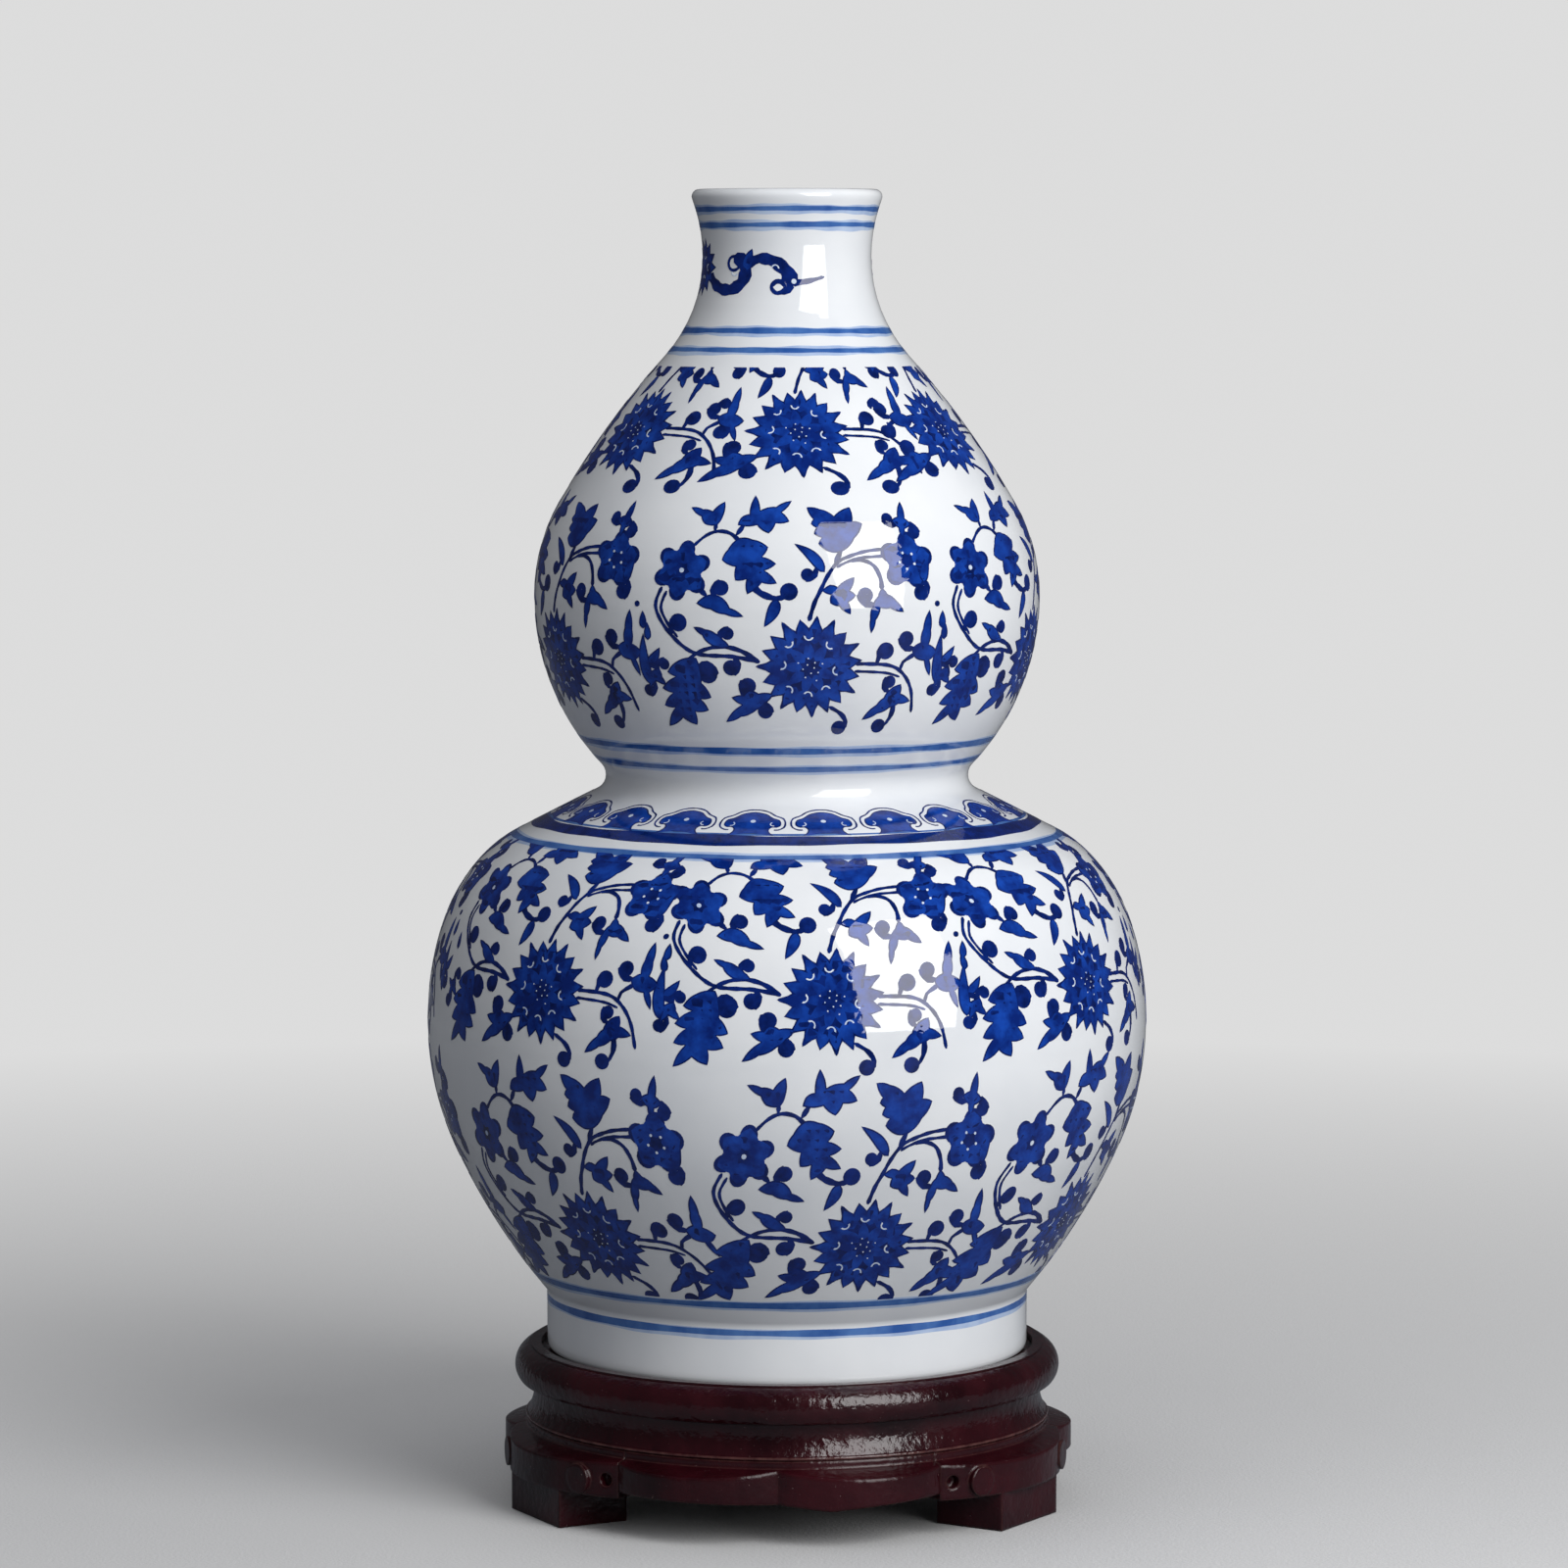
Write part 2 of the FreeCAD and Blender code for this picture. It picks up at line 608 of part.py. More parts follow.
def build_apron(name):
    body = new_body(name)
    half = apron_sweep / 2.0
    bottom = size("apron_bottom_height")
    section = skirt_section(bottom - size("carving_stock"))
    turned(body, outline(body, f"{name}_section", "XZ_Plane", section), "apron_sweep")
    flank_cusp = seat_radius + size("flank_cusp_reach")
    middle_cusp = seat_radius + size("middle_cusp_reach")
    corners = [("seam_right", flank_cusp, -half), ("cusp", middle_cusp, 0.0), ("seam_left", flank_cusp, half)]
    lobes = cut_through(body, outline(body, f"{name}_lobes", "XY_Plane", lobed_edge(corners)))
    rounded_ledge(body, lobes)
    reach = lobe_radius
    tip = size("arch_tip_offset")
    path = [("low_right", -reach, -size("overrun"), 0.0), ("low_left", reach, -size("overrun"), 0.0)]
    for label, start, end in (("left", reach, tip), ("right", tip, -reach)):
        bend = bend_of((start, bottom), (end, bottom), size("arch_rise"))
        path.append((f"arch_{label}", start, bottom, bend))
    path.append(("arch_end", -reach, bottom, 0.0))
    cut_through(body, outline(body, f"{name}_arches", "YZ_Plane", path))
    key_slots(body, "slot", half, apron_key_height)
    dowel_holes(body, "hole", size("apron_dowel_angle"), waist_bottom - half_dowel - size("glue_gap"),
                waist_bottom + size("overrun"))
    return body


def build_leg(name):
    body = new_body(name)
    half = leg_sweep / 2.0
    section = skirt_section(size("apron_bottom_height"))
    turned(body, outline(body, f"{name}_section", "XZ_Plane", section), "leg_sweep")
    flank_cusp = seat_radius + size("flank_cusp_reach")
    corners = [("seam_right", flank_cusp, -half), ("seam_left", flank_cusp, half)]
    lobe = cut_through(body, outline(body, f"{name}_lobe", "XY_Plane", lobed_edge(corners)))
    rounded_ledge(body, lobe)
    middle = seat_radius + size("leg_face_reach") - size("leg_depth") / 2.0
    foot = (size("leg_depth"), size("leg_width"), foot_height)
    block(body, "Additive", "foot", foot, middle, 0.0, 0.0)
    curl_inner = seat_radius + size("curl_face_reach") - size("curl_depth")
    eye_floor = seat_radius + size("eye_floor_reach")
    for label, side in (("left", 1.0), ("right", -1.0)):
        curl = body.newObject("PartDesign::AdditiveCylinder", f"{name}_curl_{label}")
        bind(curl, Radius="curl_radius", Height="curl_depth")
        eye = body.newObject("PartDesign::SubtractiveCylinder", f"{name}_eye_{label}")
        bind(eye, Radius="eye_radius", Height="overrun")
        for round_bar, angle, radius, height in (
                (curl, side * size("curl_angle"), curl_inner, curl_height),
                (eye, side * size("eye_angle"), eye_floor, eye_height)):
            outward = FreeCAD.Rotation(FreeCAD.Vector(0, 0, 1), FreeCAD.Vector(*polar(1.0, angle), 0))
            base = FreeCAD.Vector(*polar(radius, angle), height)
            round_bar.Placement = FreeCAD.Placement(base, outward)
    key_slots(body, "slot", half, apron_key_height)
    tenon = (size("tenon_depth"), size("tenon_width"), 2.0 * size("tenon_height"))
    block(body, "Additive", "tenon", tenon, joint_circle, 0.0, waist_bottom - size("tenon_height"))
    return body


for number in range(LEGS):
    leg_azimuth = size("first_leg_azimuth") + number * SECTOR
    apron_azimuth = leg_azimuth - SECTOR / 2.0
    for stem, build, azimuth in (("rim_segment", build_rim, apron_azimuth),
                                 ("waist_segment", build_waist, leg_azimuth),
                                 ("apron", build_apron, apron_azimuth), ("leg", build_leg, leg_azimuth)):
        piece_name = f"{stem}_{number + 1}"
        piece = build(piece_name)
        piece.Placement.Rotation = FreeCAD.Rotation(FreeCAD.Vector(0, 0, 1), azimuth)
        pieces[piece_name] = piece

batten.Placement.Rotation = FreeCAD.Rotation(FreeCAD.Vector(0, 0, 1), size("batten_azimuth"))
vase.Placement.Base = FreeCAD.Vector(0, 0, seat_height)


def join(name, parts):
    """Gathers separate solids of one kind into one named piece."""
    group = doc.addObject("Part::Compound", name)
    group.Links = parts
    group.Label = name
    pieces[name] = group


def loose_key(index, angle, height):
    """One flat key across a seam."""
    key = doc.addObject("Part::Box", f"key_{index}")
    bind(key, Length="key_width", Width="key_length", Height="key_thickness")
    put(key, joint_circle, angle, height - size("key_thickness") / 2.0,
        (-size("key_width") / 2.0, -size("key_length") / 2.0))
    return key


def loose_dowel(index, angle, height):
    """One round dowel across the joint face at a height."""
    dowel = doc.addObject("Part::Cylinder", f"dowel_{index}")
    bind(dowel, Radius="dowel_radius", Height="dowel_length")
    put(dowel, joint_circle, angle, height - half_dowel)
    return dowel


keys = []
dowels = []
for number in range(LEGS):
    leg_azimuth = size("first_leg_azimuth") + number * SECTOR
    apron_azimuth = leg_azimuth - SECTOR / 2.0
    keys.append(loose_key(len(keys), leg_azimuth, rim_key_height))
    keys.append(loose_key(len(keys), apron_azimuth, waist_key_height))
    for side in (-1.0, 1.0):
        seam = leg_azimuth + side * size("leg_half_angle")
        keys.append(loose_key(len(keys), seam, apron_key_height))
        rim_spot = leg_azimuth + side * size("ring_dowel_angle")
        dowels.append(loose_dowel(len(dowels), rim_spot, rim_bottom))
        apron_spot = apron_azimuth + side * size("apron_dowel_angle")
        dowels.append(loose_dowel(len(dowels), apron_spot, waist_bottom))
join("joint_keys", keys)
join("joint_dowels", dowels)

doc.recompute()

for item in doc.Objects:
    if "Invalid" in item.State or "Error" in item.State:
        raise RuntimeError(f"{item.Name} is {item.State}")
os.makedirs("parts", exist_ok=True)
for piece_name, piece in pieces.items():
    if piece.Shape.isNull() or not piece.Shape.isValid():
        raise RuntimeError(f"{piece_name} has no valid shape")
    piece.Shape.exportStep(f"parts/{piece_name}.step")
    print(piece_name, len(piece.Shape.Solids), round(piece.Shape.Volume, 1))
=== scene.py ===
import math
import random

import bpy
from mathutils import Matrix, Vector, geometry


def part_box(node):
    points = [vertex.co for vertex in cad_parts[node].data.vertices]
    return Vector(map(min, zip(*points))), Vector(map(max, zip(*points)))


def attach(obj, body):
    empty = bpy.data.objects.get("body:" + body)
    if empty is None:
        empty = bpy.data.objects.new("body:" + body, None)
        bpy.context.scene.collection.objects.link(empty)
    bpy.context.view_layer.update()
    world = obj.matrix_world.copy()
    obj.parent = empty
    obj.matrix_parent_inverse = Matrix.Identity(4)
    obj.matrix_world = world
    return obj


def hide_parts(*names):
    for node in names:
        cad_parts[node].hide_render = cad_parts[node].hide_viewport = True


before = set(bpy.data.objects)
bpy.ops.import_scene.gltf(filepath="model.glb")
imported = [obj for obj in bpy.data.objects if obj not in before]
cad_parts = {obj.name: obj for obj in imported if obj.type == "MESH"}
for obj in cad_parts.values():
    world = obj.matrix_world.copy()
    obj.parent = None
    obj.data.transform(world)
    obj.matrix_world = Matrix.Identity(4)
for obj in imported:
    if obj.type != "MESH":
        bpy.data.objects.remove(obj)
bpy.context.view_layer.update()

MM = 0.001
BRUSH_SEED = 7
rng = random.Random(BRUSH_SEED)


# Shader helpers


def new_material(name):
    material = bpy.data.materials.new(name)
    material.use_nodes = True
    nodes = material.node_tree.nodes
    links = material.node_tree.links
    return material, nodes, links, nodes["Principled BSDF"]


def position(nodes):
    """Object coordinates, which are the frame's metres."""
    return nodes.new("ShaderNodeTexCoord").outputs["Object"]


def noise(nodes, links, where, scale, detail=3.0, rough=0.5):
    texture = nodes.new("ShaderNodeTexNoise")
    texture.inputs["Scale"].default_value = scale
    texture.inputs["Detail"].default_value = detail
    texture.inputs["Roughness"].default_value = rough
    links.new(where, texture.inputs["Vector"])
    return texture.outputs["Fac"]


def ramp(nodes, links, value, low, high):
    """Stretches a value so that low becomes 0 and high becomes 1."""
    stretch = nodes.new("ShaderNodeMapRange")
    stretch.inputs["From Min"].default_value = low
    stretch.inputs["From Max"].default_value = high
    links.new(value, stretch.inputs["Value"])
    return stretch.outputs["Result"]


def mix(nodes, links, share, first, second):
    """Mixes two colours, each a tuple or a socket."""
    blend = nodes.new("ShaderNodeMix")
    blend.data_type = "RGBA"
    for socket, value in ((blend.inputs["Factor"], share), (blend.inputs["A"], first),
                          (blend.inputs["B"], second)):
        if isinstance(value, tuple):
            socket.default_value = (*value, 1.0)
        else:
            links.new(value, socket)
    return blend.outputs["Result"]


def math_node(nodes, links, kind, first, second):
    made = nodes.new("ShaderNodeMath")
    made.operation = kind
    for socket, value in zip(made.inputs, (first, second)):
        if isinstance(value, float):
            socket.default_value = value
        else:
            links.new(value, socket)
    return made.outputs["Value"]


def relief(nodes, links, height, distance, strength=1.0, normal=None):
    bump = nodes.new("ShaderNodeBump")
    bump.inputs["Distance"].default_value = distance
    bump.inputs["Strength"].default_value = strength
    links.new(height, bump.inputs["Height"])
    if normal is not None:
        links.new(normal, bump.inputs["Normal"])
    return bump.outputs["Normal"]


def set_sockets(surface, values):
    for socket, value in values.items():
        surface.inputs[socket].default_value = value


# Materials of the vase

GLAZE_WAVE_DEPTH = 0.22 * MM
GLAZE_PEEL_DEPTH = 0.004 * MM
CLAY_GRAIN_DEPTH = 0.1 * MM


def glazed(name, dark, light, scale, low=0.35, high=0.65):
    """Fired colour under a clear glaze: two tones in clouds, with the glaze's faint waviness."""
    material, nodes, links, surface = new_material(name)
    where = position(nodes)
    clouds = ramp(nodes, links, noise(nodes, links, where, scale, rough=0.6), low, high)
    links.new(mix(nodes, links, clouds, dark, light), surface.inputs["Base Color"])
    set_sockets(surface, {"Roughness": 0.06, "Specular IOR Level": 0.0, "Coat Weight": 1.0,
                          "Coat Roughness": 0.02, "Coat IOR": 1.5})
    waves = noise(nodes, links, where, scale=28.0, detail=2.0, rough=0.4)
    peel = noise(nodes, links, where, scale=420.0, detail=2.0, rough=0.4)
    normal = relief(nodes, links, waves, GLAZE_WAVE_DEPTH)
    normal = relief(nodes, links, peel, GLAZE_PEEL_DEPTH, normal=normal)
    links.new(normal, surface.inputs["Normal"])
    links.new(normal, surface.inputs["Coat Normal"])
    return material


porcelain = glazed("porcelain_glaze", (0.70, 0.72, 0.745), (0.76, 0.775, 0.79), 22.0)
wash_blue = glazed("cobalt_wash", (0.002, 0.016, 0.15), (0.007, 0.055, 0.36), 170.0, 0.36, 0.70)
deep_blue = glazed("cobalt_line", (0.001, 0.008, 0.075), (0.003, 0.019, 0.165), 240.0)
ring_blue = glazed("cobalt_ring", (0.022, 0.085, 0.31), (0.07, 0.17, 0.43), 90.0)
halo_blue = glazed("cobalt_halo", (0.32, 0.42, 0.64), (0.46, 0.56, 0.73), 90.0)
fleck_white = glazed("glaze_fleck", (0.42, 0.52, 0.72), (0.66, 0.72, 0.80), 300.0)


def bare_clay():
    """Unglazed sole of the foot ring: pale biscuit clay, matt and slightly stained."""
    material, nodes, links, surface = new_material("bare_clay")
    where = position(nodes)
    stains = ramp(nodes, links, noise(nodes, links, where, scale=60.0, detail=4.0, rough=0.6), 0.3, 0.7)
    colour = mix(nodes, links, stains, (0.52, 0.44, 0.35), (0.66, 0.60, 0.51))
    links.new(colour, surface.inputs["Base Color"])
    set_sockets(surface, {"Roughness": 0.85})
    grain = noise(nodes, links, where, scale=900.0, rough=0.6)
    links.new(relief(nodes, links, grain, CLAY_GRAIN_DEPTH), surface.inputs["Normal"])
    return material


clay = bare_clay()


# Materials of the stand

EDGE_RADIUS = 1.5 * MM
BEAD_LEVEL = 25.9 * MM
BEAD_REACH = 0.5 * MM
BRUSH_DEPTH = 0.4 * MM
CARVED_PEEL_DEPTH = 0.26 * MM
MOULDED_PEEL_DEPTH = 0.42 * MM
WOOD_GRAIN_DEPTH = 0.12 * MM


def edge_wear_and_highlight(nodes, links):
    """Normals that round the carved edges, and how far a place is on such an edge, from 0 to 1, for the
    edges' wear and painted highlight.
    """
    rounding = nodes.new("ShaderNodeBevel")
    rounding.samples = 8
    rounding.inputs["Radius"].default_value = EDGE_RADIUS
    rounded = rounding.outputs["Normal"]
    compare = nodes.new("ShaderNodeVectorMath")
    compare.operation = "DOT_PRODUCT"
    links.new(rounded, compare.inputs[0])
    links.new(nodes.new("ShaderNodeNewGeometry").outputs["Normal"], compare.inputs[1])
    return rounded, ramp(nodes, links, compare.outputs["Value"], 0.95, 0.80)


def bead_wear_and_highlight(nodes, links, where):
    """How far a place is on the bead line round the waist, from 0 to 1, for its wear and painted highlight.
    """
    split = nodes.new("ShaderNodeSeparateXYZ")
    links.new(where, split.inputs["Vector"])
    away = math_node(nodes, links, "SUBTRACT", split.outputs["Z"], BEAD_LEVEL)
    away = math_node(nodes, links, "ABSOLUTE", away, 0.0)
    return ramp(nodes, links, away, BEAD_REACH, 0.2 * BEAD_REACH)


def lacquer(name, carved, gloss, worn_and_highlit_colour, peel_depth):
    """Dark red lacquer with orange peel and dust in it, paler on its edges or its bead, partly as wear and
    partly as a painted highlight.
    """
    material, nodes, links, surface = new_material(name)
    where = position(nodes)
    clouds = ramp(nodes, links, noise(nodes, links, where, scale=35.0, detail=4.0, rough=0.6), 0.35, 0.65)
    base = mix(nodes, links, clouds, (0.010, 0.0010, 0.0022), (0.035, 0.0036, 0.0066))
    rounded = None
    if carved:
        rounded, worn_and_highlit = edge_wear_and_highlight(nodes, links)
    else:
        worn_and_highlit = bead_wear_and_highlight(nodes, links, where)
    patches = ramp(nodes, links, noise(nodes, links, where, scale=240.0, detail=5.0, rough=0.7), 0.30, 0.60)
    worn_and_highlit = math_node(nodes, links, "MULTIPLY", worn_and_highlit, patches)
    # Pale red on the edges or the bead: partly worn lacquer, partly a painted highlight
    colour = mix(nodes, links, worn_and_highlit, base, worn_and_highlit_colour)
    specks = ramp(nodes, links, noise(nodes, links, where, scale=1500.0, detail=2.0), 0.74, 0.80)
    colour = mix(nodes, links, specks, colour, (0.24, 0.18, 0.17))
    links.new(colour, surface.inputs["Base Color"])
    dull = ramp(nodes, links, noise(nodes, links, where, scale=70.0, detail=4.0, rough=0.6), 0.2, 0.9)
    rough = nodes.new("ShaderNodeMapRange")
    rough.inputs["To Min"].default_value = 0.10
    rough.inputs["To Max"].default_value = 0.30
    links.new(dull, rough.inputs["Value"])
    links.new(rough.outputs["Result"], surface.inputs["Roughness"])
    set_sockets(surface, {"Specular IOR Level": gloss, "Coat Weight": 0.25, "Coat Roughness": 0.08})
    peel = noise(nodes, links, where, scale=400.0)
    brush = noise(nodes, links, where, scale=60.0)
    normal = relief(nodes, links, brush, BRUSH_DEPTH, normal=rounded)
    normal = relief(nodes, links, peel, peel_depth, normal=normal)
    links.new(normal, surface.inputs["Normal"])
    links.new(normal, surface.inputs["Coat Normal"])
    return material


def bare_wood():
    """Unlacquered wood of the hidden joinery, with its grain."""
    material, nodes, links, surface = new_material("bare_wood")
    where = position(nodes)
    stretch = nodes.new("ShaderNodeMapping")
    stretch.inputs["Scale"].default_value = (1.0, 6.0, 6.0)
    links.new(where, stretch.inputs["Vector"])
    fibres = noise(nodes, links, stretch.outputs["Vector"], scale=160.0, detail=5.0, rough=0.6)
    grain = ramp(nodes, links, fibres, 0.3, 0.7)
    colour = mix(nodes, links, grain, (0.20, 0.105, 0.055), (0.36, 0.22, 0.125))
    links.new(colour, surface.inputs["Base Color"])
    set_sockets(surface, {"Roughness": 0.62})
    links.new(relief(nodes, links, grain, WOOD_GRAIN_DEPTH), surface.inputs["Normal"])
    return material


# The last colour of each lacquer is the pale red of its worn edges, which also paints their highlight
carved_lacquer = lacquer("dark_red_lacquer", True, 0.26, (0.055, 0.022, 0.020), CARVED_PEEL_DEPTH)
moulded_lacquer = lacquer("dark_red_lacquer_mouldings", False, 0.38, (0.10, 0.042, 0.038),
                          MOULDED_PEEL_DEPTH)
plain_wood = bare_wood()

FINISHES = {"seat_panel": moulded_lacquer, "rim_segment": moulded_lacquer,
            "waist_segment": moulded_lacquer, "apron": carved_lacquer, "leg": carved_lacquer,
            "seat_batten": plain_wood, "joint_keys": plain_wood, "joint_dowels": plain_wood}
for name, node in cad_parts.items():
    for prefix, finish in FINISHES.items():
        if name.startswith(prefix):
            node.data.materials.clear()
            node.data.materials.append(finish)


# The vase's outline, read from its solid

WALL = 4.5 * MM
LEVEL_STEP = 0.02 * MM
LEAST_OUTWARD = 0.05
TINY = 1e-6
END_GAP = 1e-7


def half_section(node):
    """Outer wall of a turned node as (radius, height), from its foot up to the lip."""
    rings = {}
    for face in node.data.polygons:
        spot = Vector((face.center.x, face.center.y, 0.0))
        if spot.length < TINY or face.normal.dot(spot.normalized()) < LEAST_OUTWARD:
            continue
        for index in face.vertices:
            vertex = node.data.vertices[index]
            level = round(vertex.co.z / LEVEL_STEP)
            rings[level] = (math.hypot(vertex.co.x, vertex.co.y), vertex.co.z)
    return [rings[level] for level in sorted(rings)]


outer = half_section(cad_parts["vase_body"])
low_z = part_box("vase_body")[0][2]
top_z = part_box("vase_body")[1][2]


def radius_of(height):
    for (r0, z0), (r1, z1) in zip(outer, outer[1:]):
        if z0 <= height <= z1:
            return r0 + (r1 - r0) * (height - z0) / (z1 - z0)
    return outer[-1][0]


arc_length = [0.0]
for (r0, z0), (r1, z1) in zip(outer, outer[1:]):
    arc_length.append(arc_length[-1] + math.hypot(r1 - r0, z1 - z0))


def at_length(s):
    """Radius, height and outward normal (radial, upright) of the outer wall at an arc length."""
    s = min(max(s, 0.0), arc_length[-1] - END_GAP)
    low, high = 0, len(arc_length) - 1
    while high - low > 1:
        middle = (low + high) // 2
        if arc_length[middle] <= s:
            low = middle
        else:
            high = middle
    share = (s - arc_length[low]) / (arc_length[high] - arc_length[low])
    r0, z0 = outer[low]
    r1, z1 = outer[high]
    run = math.hypot(r1 - r0, z1 - z0)
    return (r0 + (r1 - r0) * share, z0 + (z1 - z0) * share, (z1 - z0) / run, -(r1 - r0) / run)


def on_wall(azimuth, s, depth):
    """A point at a depth below the outer wall, at an azimuth from the front in degrees."""
    radius, height, out, up = at_length(s)
    radius -= depth * out
    height -= depth * up
    turn = math.radians(azimuth)
    return (radius * math.sin(turn), -radius * math.cos(turn), height)


def length_at(height):
    for index, ((r0, z0), (r1, z1)) in enumerate(zip(outer, outer[1:])):
        if z0 <= height <= z1:
            return arc_length[index] + (arc_length[index + 1] - arc_length[index]) * (height - z0) / (z1 - z0)
    return arc_length[-1]


def add_mesh(name, vertices, faces, materials, indices=None, smooth=True):
    mesh = bpy.data.meshes.new(name)
    mesh.from_pydata(vertices, [], faces)
    for material in materials:
        mesh.materials.append(material)
    if indices is not None:
        mesh.polygons.foreach_set("material_index", indices)
    mesh.polygons.foreach_set("use_smooth", [smooth] * len(mesh.polygons))
    mesh.update()
    thing = bpy.data.objects.new(name, mesh)
    bpy.context.scene.collection.objects.link(thing)
    return thing


# The vase's body, a smooth turned skin just inside the solid's wall

GLAZE_DEPTH = 0.12 * MM
HALO_DEPTH = 0.098 * MM
WASH_DEPTH = 0.075 * MM
LINE_DEPTH = 0.045 * MM
FLECK_DEPTH = 0.015 * MM
AROUND = 384

# Underside and foot ring: rises above the sole, and insets from the foot's outer wall
FOOT_WALL_RISE = 3.0 * MM
RECESS_RISE = 9.1 * MM
RECESS_INSET = 10.1 * MM
SOLE_LIFT = 0.02 * MM
SOLE_INNER_INSET = 8.6 * MM
SOLE_OUTER_INSET = 2.6 * MM
SOLE_EDGE_INSET = 1.2 * MM
SOLE_EDGE_RISE = 0.6 * MM
OUTER_START_RISE = 1.5 * MM
OUTER_STEPS = 330
# Bands of the section that are unglazed: the sole and its outer edge
SOLE_ROWS = (2, 3)

# Lip: its round starts this far below the vase's top
LIP_DROP = 2.3 * MM
LIP_SKIN = 0.1 * MM
LIP_STEPS = 12

# Inside: rises above the sole
FLOOR_RISE = 16.0 * MM
INNER_START_RISE = 18.7 * MM
FLOOR_INSET = 15.5 * MM
INNER_STEPS = 150
INNER_TOP_DROP = 1.4 * MM
LEAST_RISE = 0.02 * MM


def inner_section():
    """Inner wall as (radius, height), from the middle of the floor up to the lip."""
    floor = low_z + FLOOR_RISE
    points = [(0.0, floor), (radius_of(low_z + INNER_START_RISE) - FLOOR_INSET, floor)]
    total = arc_length[-1]
    start = length_at(low_z + INNER_START_RISE)
    inward = WALL - GLAZE_DEPTH
    for index in range(INNER_STEPS + 1):
        radius, height, out, up = at_length(start + (total - start) * index / INNER_STEPS)
        point = (radius - inward * out, height - inward * up)
        if points[-1][1] + LEAST_RISE < point[1] < top_z - INNER_TOP_DROP:
            points.append(point)
    return points


def outer_section():
    """The underside, the foot ring and the outer wall as (radius, height), up to the lip's round."""
    ring = radius_of(low_z + FOOT_WALL_RISE)
    section = [(0.0, low_z + RECESS_RISE), (ring - RECESS_INSET, low_z + RECESS_RISE),
               (ring - SOLE_INNER_INSET, low_z + SOLE_LIFT), (ring - SOLE_OUTER_INSET, low_z + SOLE_LIFT),
               (ring - SOLE_EDGE_INSET, low_z + SOLE_EDGE_RISE)]
    total = arc_length[-1]
    first = length_at(low_z + OUTER_START_RISE)
    for index in range(OUTER_STEPS + 1):
        radius, height, out, up = at_length(first + (total - first) * index / OUTER_STEPS)
        if height < top_z - LIP_DROP:
            section.append((radius - GLAZE_DEPTH * out, height - GLAZE_DEPTH * up))
    return section


def body_section():
    """The whole turned section, from the middle of the underside round to the inner floor."""
    outside = outer_section()
    inner = inner_section()
    lip_radius, base = outside[-1]
    inner_lip = inner[-1][0]
    middle = (lip_radius + inner_lip) / 2.0
    half = (lip_radius - inner_lip) / 2.0
    rise = top_z - LIP_SKIN - base
    turns = [math.pi * index / LIP_STEPS for index in range(1, LIP_STEPS)]
    lip = [(middle + half * math.cos(turn), base + rise * math.sin(turn)) for turn in turns]
    return outside + lip + inner[::-1]


def turned_body():
    section = body_section()
    vertices = []
    faces = []
    indices = []
    rows = []
    for radius, height in section:
        if radius < TINY:
            rows.append([len(vertices)] * AROUND)
            vertices.append((0.0, 0.0, height))
            continue
        rows.append(list(range(len(vertices), len(vertices) + AROUND)))
        for step in range(AROUND):
            turn = 2.0 * math.pi * step / AROUND
            vertices.append((radius * math.cos(turn), radius * math.sin(turn), height))
    for row, (low, high) in enumerate(zip(rows, rows[1:])):
        for step in range(AROUND):
            after = (step + 1) % AROUND
            corners = (low[step], low[after], high[after], high[step])
            faces.append(tuple(dict.fromkeys(corners)))
            indices.append(1 if row in SOLE_ROWS else 0)
    return add_mesh("vase_glazed_body", vertices, faces, [porcelain, clay], indices)


vase_skin = turned_body()
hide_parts("vase_body")
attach(vase_skin, "vase")


# Drawing kit: flat shapes in millimetres, laid on the wall as thin closed chips


def curve(points, step=1.1):
    """Points along a smooth curve through the given ones."""
    count = len(points)
    if count < 3:
        spans = max(2, int(math.dist(points[0], points[-1]) / step))
        return [(points[0][0] + (points[-1][0] - points[0][0]) * i / spans,
                 points[0][1] + (points[-1][1] - points[0][1]) * i / spans) for i in range(spans + 1)]
    result = []
    for index in range(count - 1):
        p0 = points[max(index - 1, 0)]
        p1 = points[index]
        p2 = points[index + 1]
        p3 = points[min(index + 2, count - 1)]
        spans = max(2, int(math.dist(p1, p2) / step))
        for i in range(spans):
            t = i / spans
            result.append(tuple(0.5 * (2.0 * b + (c - a) * t + (2.0 * a - 5.0 * b + 4.0 * c - d) * t * t
                                       + (3.0 * b - a - 3.0 * c + d) * t ** 3)
                                for a, b, c, d in zip(p0, p1, p2, p3)))
    result.append(points[-1])
    return result


def inside(point, shape):
    x, y = point
    hit = False
    for (x0, y0), (x1, y1) in zip(shape, shape[1:] + shape[:1]):
        if (y0 > y) != (y1 > y) and x < (x1 - x0) * (y - y0) / (y1 - y0) + x0:
            hit = not hit
    return hit


def cut_level(shape, level, way):
    """Keeps the side of a closed shape below (way 1) or above (way -1) a level."""
    kept = []
    for (x0, y0), (x1, y1) in zip(shape, shape[1:] + shape[:1]):
        in0 = way * (level - y0) >= 0.0
        in1 = way * (level - y1) >= 0.0
        if in0:
            kept.append((x0, y0))
        if in0 != in1:
            share = (level - y0) / (y1 - y0)
            kept.append((x0 + (x1 - x0) * share, level))
    return kept


# Least distance between outline points, spacing of the points inside, and their distance from the
# outline's points as a share of that spacing
NEAREST = 0.12
FILL_GRID = 2.6
CLEAR_SHARE = 0.35
SAME_SPOT = 1e-4


